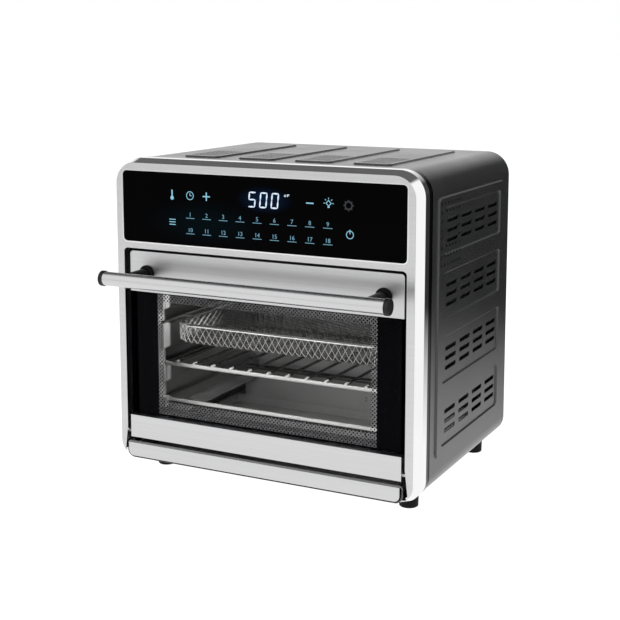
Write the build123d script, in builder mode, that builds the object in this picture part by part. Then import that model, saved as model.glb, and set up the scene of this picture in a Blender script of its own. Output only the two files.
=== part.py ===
"""Countertop air-fry toaster oven, in millimetres.

+X is the oven's right as seen from the front, +Y goes back, +Z is up. The origin is on the
surface that the feet stand on, under the middle of the whole oven, handle included.
"""
from build123d import *
import os

os.makedirs("parts", exist_ok=True)

# ---- Whole oven ----------------------------------------------------------------------------
overall_width = 344.0
overall_depth = 313.0
overall_height = 339.0
handle_reach = 47.0  # front of the handle's end caps, ahead of the bezel's face
spacer_proud = 3.0  # rear spacers, behind the edge of the wrap
foot_height = 18.0
sheet = 1.0  # pressed steel sheet
fit_gap = 0.3  # clearance between a moving piece, or a dropped-in one, and its seat
running_gap = 0.05  # radial clearance of a pin or shaft in its hole

# ---- Wrap and its pressings ----------------------------------------------------------------
emboss = 1.5  # height of every raised panel
emboss_slope = 45.0
top_corner = 25.0
low_corner = 20.0
wrap_flange = 7.0
base_return = 12.0
wrap_front = 33.0  # depths are measured back from the bezel's face
panel_front = 48.0
panel_rear_margin = 20.0
panel_low_margin = 32.0
panel_top_margin = 29.5
panel_corner = 7.0
pan_front_inset = 13.0
pan_rear_inset = 11.0
pan_height = 47.0
pan_count = 4
pan_low_inset = 10.0
pan_high_inset = 10.5
pan_corner = 5.0
louvre_gap = 10.4  # between one louvre and the next along a row
louvre_height = 4.6
louvre_pitch = 9.8
louvre_rows = 3
louvre_columns = 4
louvre_first = 26.8  # first column's middle behind the front of its pan
louvre_last = 23.0  # last column's middle ahead of the rear of its pan
louvre_bend = 3.4
louvre_blade = 0.8
slot_rounding = 0.45  # corner radius of a slot as a share of its width
perf_radius = 1.6
perf_pitch = 8.6
perf_columns = 7
perf_rows = 8
perf_edge = 6.5  # first hole from the edges of the raised panel
top_panel_width = 43.0
top_panel_pitch = 65.3
top_panel_front = 52.0
top_panel_rear_margin = 26.0
top_vent_length = 34.0
top_vent_width = 3.0
top_vent_pitch = 7.4
top_vent_rows = 8
top_vent_first = 11.0  # first row behind the front of its panel

# ---- Bezel, control panel and front frame ---------------------------------------------------
bezel_proud = 0.7
bezel_depth = 30.0
bezel_bevel = 4.1  # bevel round the front edge, across its face
bezel_bevel_depth = 14.0
bezel_edge = 0.5
bezel_wall = 2.5
side_band = 13.1  # from the overall side to the openings
top_band = 13.0
bezel_bar = 7.3
sill_height = 6.0  # bottom bar of the bezel
opening_corner = 4.5
flare = 3.5  # the columns narrow near the sill
flare_rise = 30.0
control_height = 73.4
control_thick = 3.0
control_gap = 0.2
carrier_lap = 4.0
carrier_wall = 2.0
carrier_corner = 14.0  # clears the inside of the bezel's corner
frame_neck = 1.2

# ---- Door ----------------------------------------------------------------------------------
door_side_gap = 3.7
door_top_gap = 3.3
upper_rail_height = 43.2
upper_rail_set = 4.5  # rail's face behind the bezel's face
lower_rail_height = 24.6
rail_wall = 1.5
rail_back = 26.0
rail_corner = 4.0
rail_edge = 0.8
glass_set = 5.8
glass_thick = 4.0
glass_joint = 0.3
glass_side_inset = 0.5
door_back = 28.5
frame_margin = 15.5  # from the door's side to the opening of its inner frame
frame_rise = 3.0
inner_glass_thick = 3.0
inner_glass_lap = 5.0
stile_width = 4.0
hinge_set = 6.0  # pin's axis behind the bezel's face
hinge_rise = 5.2  # pin's axis above the lower rail's bottom edge
pin_radius = 2.0
pin_inside = 14.0
bracket_thick = 2.5
bracket_height = 18.0
bracket_side_gap = 1.4  # ear outside the edge of the opening
pin_head_thick = 1.5
spring_wire = 0.6  # radius
spring_turns = 5
spring_pitch = 1.6 * spring_wire  # close-wound: each turn sits into the one beside it

# ---- Handle --------------------------------------------------------------------------------
handle_side_inset = 12.5  # end of the handle inside the overall side
handle_bar_radius = 7.25
handle_cap_radius = 8.0
handle_cap_thick = 4.5
handle_tube_wall = 1.2
handle_below_top = 23.0  # bar's axis under the top of the upper rail
post_inset = 25.5  # from the end of the handle
post_base_radius = 8.5
post_base_thick = 4.0
post_base_round = 2.8
post_radius = 5.6
post_screw_radius = 2.0
post_screw_length = 22.0

# ---- Crumb tray ------------------------------------------------------------------------------
strip_low = 3.7  # strip's bottom edge above the base of the wrap
strip_height = 15.4
strip_proud = 4.0
strip_thick = 2.2
strip_side_inset = 2.5  # strip's end from the edge of the opening
strip_corner = 7.0
strip_top_corner = 2.3
backing_rim = 1.2
door_strip_gap = 4.6
tray_lift = 1.5  # underside of the tray above the sill
tray_wall_height = 10.0
tray_side_inset = 9.0
tray_rear_gap = 36.0  # end of the tray ahead of the cavity's rear wall
runner_width = 10.0
runner_rear_gap = 20.0

# ---- Cavity ----------------------------------------------------------------------------------
cavity_side_inset = 14.9  # inside wall from the edge of the opening
cavity_low = 40.0  # cavity's floor above the base of the wrap
cavity_below_door_top = 2.0
cavity_rear_gap = 13.0  # rear wall ahead of the edge of the wrap
cavity_corner = 7.0
throat_lap = 2.0  # front frame's lip inside the cavity's walls
floor_opening_side_inset = 19.0
floor_opening_front = 52.0
floor_opening_rear_gap = 24.0
guide_front = 38.0
guide_rear_gap = 5.0
# Shares of the cavity's height:
guide_shares = (0.115, 0.313, 0.559)  # wires of a rack at each level
pad_shares = (0.060, 0.104, 0.146)  # heights of the pressed pads that these wires lie on
top_pad_share = 0.632  # bottom of the highest pad
lamp_share = 0.868
probe_share = 0.879
pad_depth = 7.0
pad_round = 2.4
pad_lamp_gap = 8.0  # top of the highest pad under the lamp

# ---- Rack, basket and heating elements -----------------------------------------------------
side_wire_radius = 2.0
side_wire_gap = 5.5  # side wire's middle from the cavity wall
rack_front = 41.0
rack_rear_gap = 12.0
rack_corner = 6.0
cross_wire_radius = 1.5
cross_wire_end = 15.85  # outermost rod from the side wire
cross_wire_count = 12
weld_depth = 0.75  # how far a rod is sunk into the wire that it crosses
brace_radius = 1.6
brace_shares = (0.5,)  # of the rack's length
basket_side_gap = 16.5  # from the side wire
basket_front = 40.0
basket_rear_gap = 20.0
basket_depth = 20.0
basket_corner = 24.0
basket_sheet = 1.0
basket_frame_front = 38.0
rim_radius = 1.7
arm_radius = 1.3
arm_shares = (0.2, 0.8)  # of the basket's length
element_radius = 3.25
lower_element_rise = 14.0
lower_element_front = 47.0
upper_element_drop = 14.0
upper_element_front = 78.0
element_rear_gap = 36.0  # rear rods ahead of the cavity's rear wall
element_tail = 11.0
terminal_radius = 1.6
terminal_length = 5.0
insulator_radius = 7.0
insulator_thick = 5.0

# ---- Fan ---------------------------------------------------------------------------------------
fan_behind_middle = -1.5  # fan's axis behind the middle of the cavity
fan_radius = 58.0
fan_blades = 8
blade_height = 15.0
chamber_radius = 72.0
chamber_height = 27.0
fan_hole_radius = 62.0
guard_radius = 68.0
guard_hole_radius = 6.0
guard_rings = ((18.4, 6), (35.4, 12), (52.4, 20))  # radius of each ring, and its holes
shaft_radius = 3.0
motor_radius = 30.0
motor_height = 36.0
bracket_rise = 5.0
bracket_margin = 14.0  # bridge beyond the motor at each end
shaft_in_motor = 21.6
fan_lift = 4.0  # blades above the cavity's ceiling

# ---- Places worked out from the sizes above ----------------------------------------------------
face_y = handle_reach - overall_depth / 2
wrap_rear = overall_depth - handle_reach - spacer_proud
wrap_half = overall_width / 2 - emboss
wrap_top = overall_height - emboss
base_z = foot_height
opening_half = overall_width / 2 - side_band
handle_half = overall_width / 2 - handle_side_inset
control_top = overall_height - top_band
control_low = control_top - control_height
door_opening_top = control_low - bezel_bar
sill_top = base_z + sill_height
strip_z = base_z + strip_low
strip_top = strip_z + strip_height
door_half = opening_half - door_side_gap
door_low = strip_top + door_strip_gap
door_top = door_opening_top - door_top_gap
lower_rail_top = door_low + lower_rail_height
upper_rail_low = door_top - upper_rail_height
hinge_z = door_low + hinge_rise
handle_z = door_top - handle_below_top
handle_depth = handle_cap_radius - handle_reach
post_x = handle_half - post_inset
frame_back = wrap_front
cavity_half = opening_half - cavity_side_inset
cavity_floor = base_z + cavity_low
cavity_top = door_top - cavity_below_door_top
cavity_height = cavity_top - cavity_floor
cavity_rear = wrap_rear - cavity_rear_gap
fan_depth = (wrap_front + cavity_rear) / 2 + fan_behind_middle
side_wire_x = cavity_half - side_wire_gap
guide_levels = [cavity_floor + cavity_height * share for share in guide_shares]
rack_z = guide_levels[1]
rack_length = cavity_rear - rack_rear_gap - rack_front
cross_wire_pitch = 2 * (side_wire_x - cross_wire_end) / (cross_wire_count - 1)
basket_z = guide_levels[2]
basket_half = side_wire_x - basket_side_gap
basket_length = cavity_rear - basket_rear_gap - basket_front
element_rear = cavity_rear - element_rear_gap
lower_element_z = cavity_floor + lower_element_rise
upper_element_z = cavity_top - upper_element_drop
liner_top = cavity_top + sheet
chamber_top = liner_top + chamber_height


def facing_front(depth):
    """Plane seen from the front at a depth behind the bezel's face. A minus amount goes back."""
    return Plane.XZ.offset(-(face_y + depth))


def facing_right(x):
    """Plane seen from the oven's right side, with Y across and Z up."""
    return Plane.YZ.offset(x)


def level(z):
    """Horizontal plane, with X across and Y back."""
    return Plane.XY.offset(z)


def case_outline(inset):
    """Rounded outline of the case, drawn this far inside the wrap's outer face."""
    low = base_z + inset
    high = wrap_top - inset
    with BuildSketch() as outline:
        with Locations((0, (low + high) / 2)):
            Rectangle(2 * (wrap_half - inset), high - low)
        fillet(outline.vertices().group_by(Axis.Y)[-1], top_corner - inset)
        fillet(outline.vertices().group_by(Axis.Y)[0], low_corner - inset)
    return outline.sketch


def block(half_width, z_low, z_high, front, rear, mode=Mode.ADD):
    """Block centred on X between two heights and two depths."""
    side_block(-half_width, half_width, z_low, z_high, front, rear, mode)


def side_block(x_low, x_high, z_low, z_high, front, rear, mode=Mode.ADD):
    """Block between two X places, two heights and two depths."""
    with BuildSketch(facing_front(front)) as profile:
        with Locations(((x_low + x_high) / 2, (z_low + z_high) / 2)):
            Rectangle(abs(x_high - x_low), z_high - z_low)
    extrude(profile.sketch, amount=front - rear, mode=mode)


# ==== Outer wrap ================================================================================
# One pressed sheet: top, sides and rounded lower corners that turn in under the base.
panel_rear = wrap_rear - panel_rear_margin
panel_low = base_z + panel_low_margin
panel_high = overall_height - panel_top_margin
pan_length = panel_rear - panel_front - pan_front_inset - pan_rear_inset
pan_pitch = (panel_high - panel_low - pan_low_inset - pan_high_inset - pan_height) / (pan_count - 1)
louvre_column_pitch = (pan_length - louvre_first - louvre_last) / (louvre_columns - 1)
louvre_length = louvre_column_pitch - louvre_gap
pan_y = face_y + panel_front + pan_front_inset + pan_length / 2
pan_levels = [panel_low + pan_low_inset + pan_height / 2 + i * pan_pitch for i in range(pan_count)]
louvre_places = [
    (pan_y - pan_length / 2 + louvre_first + column * louvre_column_pitch, z + row * louvre_pitch)
    for z in pan_levels
    for row in range(-(louvre_rows // 2), louvre_rows - louvre_rows // 2)
    for column in range(louvre_columns)
]


def clear_of_louvres(y, z):
    """True where a round hole misses every louvre."""
    return all(
        abs(y - ly) > louvre_length / 2 + 2 * perf_radius or abs(z - lz) > louvre_height / 2 + 2 * perf_radius
        for ly, lz in louvre_places
    )


perf_places = [
    (face_y + panel_front + perf_edge + column * perf_pitch, panel_high - perf_edge - row * perf_pitch)
    for column in range(perf_columns)
    for row in range(perf_rows)
]
perf_places = [place for place in perf_places if clear_of_louvres(*place)]
top_panel_rear = wrap_rear - top_panel_rear_margin
top_panel_y = face_y + (top_panel_front + top_panel_rear) / 2
top_panel_places = [top_panel_pitch / 2, top_panel_pitch * 3 / 2]

rear_screw_radius = 1.8
rear_screw_head = 3.4
rear_screw_length = 8.0
rear_screw_head_thick = 1.6
rear_screw_shares = (0.16, 0.49, 0.82)  # of the wrap's height
rear_screw_places = [
    (side * (wrap_half - wrap_flange / 2 - sheet / 2), base_z + (wrap_top - base_z) * share)
    for side in (-1, 1)
    for share in rear_screw_shares
]

with BuildPart() as louvre:
    # One blade, hung from the top edge of its slot and bent inwards.
    with BuildSketch(Plane.XZ.offset(louvre_length / 2)):
        with BuildLine():
            Polyline(
                (wrap_half - louvre_blade / 4, louvre_height / 2),
                (wrap_half - sheet, louvre_height / 2 + louvre_blade),
                (wrap_half - sheet - louvre_bend, -louvre_height / 3),
                (wrap_half - sheet - louvre_bend + louvre_blade, -louvre_height / 2),
                close=True,
            )
        make_face()
    extrude(amount=-louvre_length)

with BuildPart() as outer_wrap:
    with BuildSketch(facing_front(wrap_front)):
        add(case_outline(0))
        add(case_outline(sheet), mode=Mode.SUBTRACT)
    extrude(amount=wrap_front - wrap_rear)
    for flange_depth in (wrap_front, wrap_rear - sheet):
        with BuildSketch(facing_front(flange_depth)):
            add(case_outline(sheet / 2))
            add(case_outline(wrap_flange), mode=Mode.SUBTRACT)
        extrude(amount=-sheet)
    with BuildSketch(facing_front(wrap_rear - 2 * sheet)):
        with Locations(*rear_screw_places):
            Circle(rear_screw_radius + running_gap)
    extrude(amount=-3 * sheet, mode=Mode.SUBTRACT)
    # The base is open between the two returns.
    block(
        wrap_half - low_corner - base_return,
        base_z - sheet,
        base_z + wrap_flange + sheet,
        wrap_front - sheet,
        wrap_rear + sheet,
        mode=Mode.SUBTRACT,
    )
    # Raised side panel, hollow behind.
    with BuildSketch(facing_right(wrap_half)):
        with Locations((face_y + (panel_front + panel_rear) / 2, (panel_low + panel_high) / 2)):
            RectangleRounded(panel_rear - panel_front, panel_high - panel_low, panel_corner)
    extrude(amount=emboss, taper=emboss_slope)
    with BuildSketch(facing_right(wrap_half - sheet)):
        with Locations((face_y + (panel_front + panel_rear) / 2, (panel_low + panel_high) / 2)):
            RectangleRounded(
                panel_rear - panel_front - sheet, panel_high - panel_low - sheet, panel_corner - sheet / 2
            )
    extrude(amount=emboss, taper=emboss_slope, mode=Mode.SUBTRACT)
    # Louvre pans, pressed back to the level of the wrap.
    with BuildSketch(facing_right(wrap_half - sheet)):
        with Locations(*[(pan_y, z) for z in pan_levels]):
            RectangleRounded(pan_length + sheet, pan_height + sheet, pan_corner + sheet / 2)
    extrude(amount=emboss)
    with BuildSketch(facing_right(wrap_half + emboss)):
        with Locations(*[(pan_y, z) for z in pan_levels]):
            RectangleRounded(pan_length, pan_height, pan_corner)
    extrude(amount=-emboss, taper=emboss_slope, mode=Mode.SUBTRACT)
    with BuildSketch(facing_right(wrap_half + emboss)):
        with Locations(*louvre_places):
            RectangleRounded(louvre_length, louvre_height, louvre_height * slot_rounding)
        with Locations(*perf_places):
            Circle(perf_radius)
    extrude(amount=-(emboss + 2 * sheet), mode=Mode.SUBTRACT)
    with Locations(*[(0, y, z) for y, z in louvre_places]):
        add(louvre.part)
    # Raised panels along the top, each with a block of vents near the front.
    with BuildSketch(level(wrap_top)):
        with Locations(*[(x, top_panel_y) for x in top_panel_places]):
            RectangleRounded(top_panel_width, top_panel_rear - top_panel_front, panel_corner)
    extrude(amount=emboss, taper=emboss_slope)
    with BuildSketch(level(wrap_top - sheet)):
        with Locations(*[(x, top_panel_y) for x in top_panel_places]):
            RectangleRounded(
                top_panel_width - sheet, top_panel_rear - top_panel_front - sheet, panel_corner - sheet / 2
            )
    extrude(amount=emboss, taper=emboss_slope, mode=Mode.SUBTRACT)
    with BuildSketch(level(overall_height)):
        vent_y = face_y + top_panel_front + top_vent_first
        with Locations(
            *[(x, vent_y + row * top_vent_pitch) for x in top_panel_places for row in range(top_vent_rows)]
        ):
            RectangleRounded(top_vent_length, top_vent_width, top_vent_width * slot_rounding)
    extrude(amount=-(emboss + 2 * sheet), mode=Mode.SUBTRACT)
    split(bisect_by=Plane.YZ, keep=Keep.TOP)
    mirror(about=Plane.YZ)
outer_wrap.part.label = "outer_wrap"
export_step(outer_wrap.part, "parts/outer_wrap.step")

# ==== Base ======================================================================================
base_half = wrap_half - low_corner
base_slot_rows = 6
base_slot_pitch = 12.0
base_slot_length = 60.0
base_slot_column_pitch = 90.0
base_slot_width = 4.0
with BuildPart() as bottom_plate:
    block(base_half, base_z + sheet, base_z + 2 * sheet, wrap_front + sheet, wrap_rear - sheet)
    with BuildSketch(level(base_z + 2 * sheet)):
        with Locations((0, face_y + (wrap_front + wrap_rear) / 2)):
            with GridLocations(base_slot_column_pitch, base_slot_pitch, 2, base_slot_rows):
                SlotOverall(base_slot_length, base_slot_width)
    extrude(amount=-sheet, mode=Mode.SUBTRACT)
bottom_plate.part.label = "bottom_plate"
export_step(bottom_plate.part, "parts/bottom_plate.step")

foot_side_inset = 7.5  # middle of a foot inside the edge of the floor plate
foot_x = base_half - foot_side_inset
foot_front = 50.0
foot_rear_inset = 23.0
foot_rear = wrap_rear - foot_rear_inset
foot_radius = 10.25
foot_taper = 0.7
foot_places = [(side * foot_x, face_y + depth) for side in (-1, 1) for depth in (foot_front, foot_rear)]
with BuildPart() as one_foot:
    with BuildSketch():
        Circle(foot_radius - foot_taper)
    with BuildSketch(level(foot_height)):
        Circle(foot_radius)
    loft()
    chamfer(one_foot.faces().sort_by(Axis.Z)[0].edges(), foot_taper)
with BuildPart() as feet:
    with Locations(*[(x, y, 0) for x, y in foot_places]):
        add(one_foot.part)
feet.part.label = "feet"
export_step(feet.part, "parts/feet.step")

# ==== Rear ======================================================================================
rear_face = wrap_rear - sheet  # the panel bears on the inside of the rear flange
gland_side_inset = 58.5
gland_x = wrap_half - gland_side_inset
gland_rise = 42.0
gland_z = base_z + gland_rise
gland_radius = 8.0
gland_flange = 11.0
gland_bore = 3.6
spacer_inset = 14.0
spacer_rise = 107.0
spacer_x = wrap_half - spacer_inset
spacer_z = base_z + spacer_rise
spacer_radius = 7.0
rear_vent_length = 46.0
rear_vent_width = 4.0
rear_vent_pitch = 9.0
rear_vent_rows = 9
rear_vent_column_pitch = 60.0
rear_vent_drop = 69.5
rear_vent_z = wrap_top - rear_vent_drop
with BuildPart() as rear_panel:
    with BuildSketch(facing_front(rear_face - sheet)):
        add(case_outline(sheet + fit_gap))
        with Locations((0, rear_vent_z)):
            with GridLocations(rear_vent_column_pitch, rear_vent_pitch, 3, rear_vent_rows):
                SlotOverall(rear_vent_length, rear_vent_width, mode=Mode.SUBTRACT)
        with Locations((gland_x, gland_z)):
            Circle(gland_radius + running_gap, mode=Mode.SUBTRACT)
        with Locations(*rear_screw_places):
            Circle(rear_screw_radius + running_gap, mode=Mode.SUBTRACT)
    extrude(amount=-sheet)
    # The floor plate and the returns end here, so the panel is cut clear of them.
    block(
        base_half + fit_gap,
        base_z,
        base_z + 2 * sheet + fit_gap,
        rear_face - 2 * sheet,
        rear_face + sheet,
        mode=Mode.SUBTRACT,
    )
rear_panel.part.label = "rear_panel"
export_step(rear_panel.part, "parts/rear_panel.step")

with BuildPart() as rear_screws:
    with BuildSketch(facing_front(wrap_rear + rear_screw_head_thick)):
        with Locations(*rear_screw_places):
            Circle(rear_screw_head)
    extrude(amount=rear_screw_head_thick)
    with BuildSketch(facing_front(wrap_rear)):
        with Locations(*rear_screw_places):
            Circle(rear_screw_radius)
    extrude(amount=rear_screw_length)
rear_screws.part.label = "rear_screws"
export_step(rear_screws.part, "parts/rear_screws.step")

with BuildPart() as rear_spacers:
    with BuildSketch(facing_front(rear_face)):
        with Locations(*[(side * spacer_x, spacer_z) for side in (-1, 1)]):
            Circle(spacer_radius)
    extrude(amount=-(sheet + spacer_proud))
    chamfer(rear_spacers.faces().group_by(Axis.Y)[-1].edges(), sheet)
rear_spacers.part.label = "rear_spacers"
export_step(rear_spacers.part, "parts/rear_spacers.step")

with BuildPart() as cord_gland:
    with BuildSketch(facing_front(rear_face)):
        with Locations((gland_x, gland_z)):
            Circle(gland_flange)
            Circle(gland_bore, mode=Mode.SUBTRACT)
    extrude(amount=-(sheet + spacer_proud / 2))
    with BuildSketch(facing_front(rear_face)):
        with Locations((gland_x, gland_z)):
            Circle(gland_radius)
            Circle(gland_bore, mode=Mode.SUBTRACT)
    extrude(amount=3 * sheet)
cord_gland.part.label = "cord_gland"
export_step(cord_gland.part, "parts/cord_gland.step")

# ==== Bezel and front frame =====================================================================
with BuildPart() as front_bezel:
    # Stainless ring with a bevelled front edge, a bar under the control panel and a low sill.
    with BuildSketch(facing_front(0)):
        add(case_outline(-bezel_proud))
    extrude(amount=-bezel_depth)
    bezel_face = front_bezel.faces().sort_by(Axis.Y)[0]
    chamfer(bezel_face.edges(), bezel_bevel, bezel_bevel_depth, reference=bezel_face)
    fillet(front_bezel.faces().sort_by(Axis.Y)[0].edges(), bezel_edge)
    offset(amount=-bezel_wall, openings=front_bezel.faces().sort_by(Axis.Y)[-1])
    with BuildSketch(facing_front(-sheet)):
        with Locations((0, (control_low + control_top) / 2)):
            RectangleRounded(2 * opening_half, control_height, opening_corner)
    extrude(amount=-(bezel_wall + 2 * sheet), mode=Mode.SUBTRACT)
    with BuildSketch(facing_front(-sheet)) as door_opening:
        with BuildLine():
            Polyline(
                (-opening_half, door_opening_top),
                (-opening_half, sill_top + flare_rise),
                (-opening_half - flare, sill_top),
                (opening_half + flare, sill_top),
                (opening_half, sill_top + flare_rise),
                (opening_half, door_opening_top),
                close=True,
            )
        make_face()
        fillet(door_opening.vertices().group_by(Axis.Y)[-1], opening_corner)
    extrude(amount=-(bezel_wall + 2 * sheet), mode=Mode.SUBTRACT)
front_bezel.part.label = "front_bezel"
export_step(front_bezel.part, "parts/front_bezel.step")

tray_half = opening_half - tray_side_inset
tray_z = sill_top + tray_lift
tray_top = tray_z + tray_wall_height
frame_front = bezel_depth
throat_half = cavity_half - throat_lap
throat_low = cavity_floor + throat_lap
throat_high = cavity_top - throat_lap
with BuildPart() as front_frame:
    # Black plate behind the door: mouth of the cavity above, slot for the crumb tray below.
    with BuildSketch(facing_front(frame_front)):
        add(case_outline(frame_neck))
        with Locations((0, (throat_low + throat_high) / 2)):
            RectangleRounded(
                2 * throat_half, throat_high - throat_low, cavity_corner - throat_lap, mode=Mode.SUBTRACT
            )
        with Locations((0, (tray_z + tray_top) / 2)):
            Rectangle(2 * (tray_half + 4 * fit_gap), tray_wall_height + 4 * fit_gap, mode=Mode.SUBTRACT)
    extrude(amount=frame_front - frame_back)
front_frame.part.label = "front_frame"
export_step(front_frame.part, "parts/front_frame.step")

# ==== Control panel =============================================================================
control_mid = (control_low + control_top) / 2
with BuildPart() as control_glass:
    with BuildSketch(facing_front(0)):
        with Locations((0, control_mid)):
            RectangleRounded(
                2 * (opening_half - control_gap),
                control_height - 2 * control_gap,
                opening_corner - control_gap,
            )
    extrude(amount=-control_thick)
    chamfer(control_glass.faces().sort_by(Axis.Y)[0].edges(), control_gap)
control_glass.part.label = "control_glass"
export_step(control_glass.part, "parts/control_glass.step")

carrier_half = opening_half + carrier_lap
window_half = opening_half - 3 * carrier_lap
window_height = control_height - 4 * carrier_lap
with BuildPart() as panel_carrier:
    # Black moulded box that holds the glass from behind and bears on the front frame.
    block(carrier_half, control_low - carrier_lap, control_top + carrier_lap, bezel_wall, frame_front)
    fillet(panel_carrier.edges().filter_by(Axis.Y), carrier_corner)
    with BuildSketch(facing_front(control_thick + carrier_wall)):
        with Locations((0, control_mid)):
            RectangleRounded(
                2 * (carrier_half - carrier_wall),
                control_height + 2 * (carrier_lap - carrier_wall),
                carrier_corner - carrier_wall,
            )
    extrude(amount=-frame_front, mode=Mode.SUBTRACT)
    with BuildSketch(facing_front(bezel_wall)):
        with Locations((0, control_mid)):
            RectangleRounded(2 * opening_half, control_height, opening_corner)
    extrude(amount=bezel_wall - control_thick, mode=Mode.SUBTRACT)
    with BuildSketch(facing_front(0)):
        with Locations((0, control_mid)):
            RectangleRounded(2 * window_half, window_height, opening_corner)
    extrude(amount=-frame_front / 2, mode=Mode.SUBTRACT)
panel_carrier.part.label = "panel_carrier"
export_step(panel_carrier.part, "parts/panel_carrier.step")

board_thick = 1.6
board_half = carrier_half - carrier_wall - fit_gap
board_height = control_height + 2 * (carrier_lap - carrier_wall - fit_gap)
board_depth = control_thick + carrier_wall
module_half = 31.0
module_height = 22.0
module_rise = 14.0  # above the middle of the panel
module_z = control_mid + module_rise
header_size = 12.0
with BuildPart() as touch_board:
    # Circuit board with the number display in front and a plug header behind.
    with BuildSketch(facing_front(board_depth)):
        with Locations((0, control_mid)):
            RectangleRounded(2 * board_half, board_height, carrier_corner - carrier_wall)
    extrude(amount=-board_thick)
    block(
        module_half,
        module_z - module_height / 2,
        module_z + module_height / 2,
        control_thick + fit_gap,
        board_depth,
    )
    block(
        header_size,
        control_mid - header_size,
        control_mid - header_size / 2,
        board_depth + board_thick,
        board_depth + board_thick + header_size / 2,
    )
touch_board.part.label = "touch_board"
export_step(touch_board.part, "parts/touch_board.step")

# ==== Cavity ====================================================================================
fan_y = face_y + fan_depth
lamp_behind_fan = 6.0
lamp_depth = fan_depth + lamp_behind_fan
lamp_z = cavity_floor + cavity_height * lamp_share
lamp_radius = 15.0
lamp_rim = 18.0
probe_side_inset = 46.0
probe_x = cavity_half - probe_side_inset
probe_z = cavity_floor + cavity_height * probe_share
probe_radius = 2.0
probe_length = 38.0
probe_flange = 6.0
element_places = [
    (face_y + lower_element_front, lower_element_z),
    (face_y + element_rear, lower_element_z),
    (face_y + upper_element_front, upper_element_z),
    (face_y + element_rear, upper_element_z),
]
with BuildPart() as cavity_liner:
    # Folded steel oven box, open at the front and with a large hole in its floor over the tray.
    with BuildSketch(facing_front(frame_back)):
        with Locations((0, (cavity_floor + cavity_top) / 2)):
            RectangleRounded(
                2 * (cavity_half + sheet), cavity_top - cavity_floor + 2 * sheet, cavity_corner + sheet
            )
    extrude(amount=frame_back - cavity_rear - sheet)
    with BuildSketch(facing_front(frame_back)):
        with Locations((0, (cavity_floor + cavity_top) / 2)):
            RectangleRounded(2 * cavity_half, cavity_top - cavity_floor, cavity_corner)
    extrude(amount=frame_back - cavity_rear, mode=Mode.SUBTRACT)
    block(
        cavity_half - floor_opening_side_inset,
        cavity_floor - 2 * sheet,
        cavity_floor + sheet,
        floor_opening_front,
        cavity_rear - floor_opening_rear_gap,
        mode=Mode.SUBTRACT,
    )
    with BuildSketch(level(liner_top)):
        with Locations((0, fan_y)):
            Circle(fan_hole_radius)
    extrude(amount=-2 * sheet, mode=Mode.SUBTRACT)
    with BuildSketch(facing_right(0)):
        with Locations(*element_places):
            Circle(element_radius + fit_gap)
    extrude(amount=cavity_half + 2 * sheet, both=True, mode=Mode.SUBTRACT)
    with BuildSketch(facing_right(cavity_half - sheet)):
        with Locations((face_y + lamp_depth, lamp_z)):
            Circle(lamp_radius + fit_gap)
    extrude(amount=3 * sheet, mode=Mode.SUBTRACT)
    with BuildSketch(facing_front(cavity_rear - sheet)):
        with Locations((probe_x, probe_z)):
            Circle(probe_radius + running_gap)
    extrude(amount=-3 * sheet, mode=Mode.SUBTRACT)
cavity_liner.part.label = "cavity_liner"
export_step(cavity_liner.part, "parts/cavity_liner.step")

bracket_half = 12.0
liner_bracket_side_inset = 44.0
liner_bracket_x = cavity_half - liner_bracket_side_inset
liner_bracket_rise = 60.0
liner_bracket_z = cavity_floor + liner_bracket_rise
with BuildPart() as liner_brackets:
    # Two blocks that tie the back of the oven box to the rear panel.
    for side in (-1, 1):
        side_block(
            side * liner_bracket_x - bracket_half,
            side * liner_bracket_x + bracket_half,
            liner_bracket_z - bracket_half,
            liner_bracket_z + bracket_half,
            cavity_rear + sheet,
            rear_face - sheet,
        )
liner_brackets.part.label = "liner_brackets"
export_step(liner_brackets.part, "parts/liner_brackets.step")

guide_rear = cavity_rear - guide_rear_gap
guide_mid = face_y + (guide_front + guide_rear) / 2
plate_x = cavity_half - sheet
pad_spans = [
    (wire_z - side_wire_radius - fit_gap - cavity_height * share, cavity_height * share)
    for wire_z, share in zip(guide_levels, pad_shares)
]
top_pad_low = cavity_floor + cavity_height * top_pad_share
top_pad_high = lamp_z - lamp_radius - pad_lamp_gap
pad_spans.append((top_pad_low, top_pad_high - top_pad_low))
guide_low = pad_spans[0][0]
guide_high = top_pad_high + 2 * sheet
for side, hand in ((-1, "left"), (1, "right")):
    with BuildPart() as side_guide:
        # Pressed wall plate: the wires run in the grooves between its long raised pads.
        side_block(side * plate_x, side * cavity_half, guide_low, guide_high, guide_front, guide_rear)
        with BuildSketch(facing_right(side * plate_x)):
            for pad_z, height in pad_spans:
                with Locations((guide_mid, pad_z + height / 2)):
                    Rectangle(guide_rear - guide_front, height)
        extrude(amount=-side * pad_depth)
        pad_faces = side_guide.faces().filter_by(Axis.X).sort_by(Axis.X)
        crowns = pad_faces[: len(pad_spans)] if side > 0 else pad_faces[-len(pad_spans) :]
        fillet(crowns.edges(), pad_round)
        # Each pad is hollow behind.
        with BuildSketch(facing_right(side * cavity_half)):
            for pad_z, height in pad_spans:
                with Locations((guide_mid, pad_z + height / 2)):
                    Rectangle(guide_rear - guide_front - 2 * sheet, height - 2 * sheet)
        extrude(amount=-side * pad_depth, mode=Mode.SUBTRACT)
        # The ends of the lower elements pass through it.
        with BuildSketch(facing_right(side * (cavity_half + sheet))):
            with Locations(*element_places[:2]):
                Circle(element_radius + fit_gap)
        extrude(amount=-side * (pad_depth + 3 * sheet), mode=Mode.SUBTRACT)
    side_guide.part.label = f"side_guide_{hand}"
    export_step(side_guide.part, f"parts/side_guide_{hand}.step")


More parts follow.
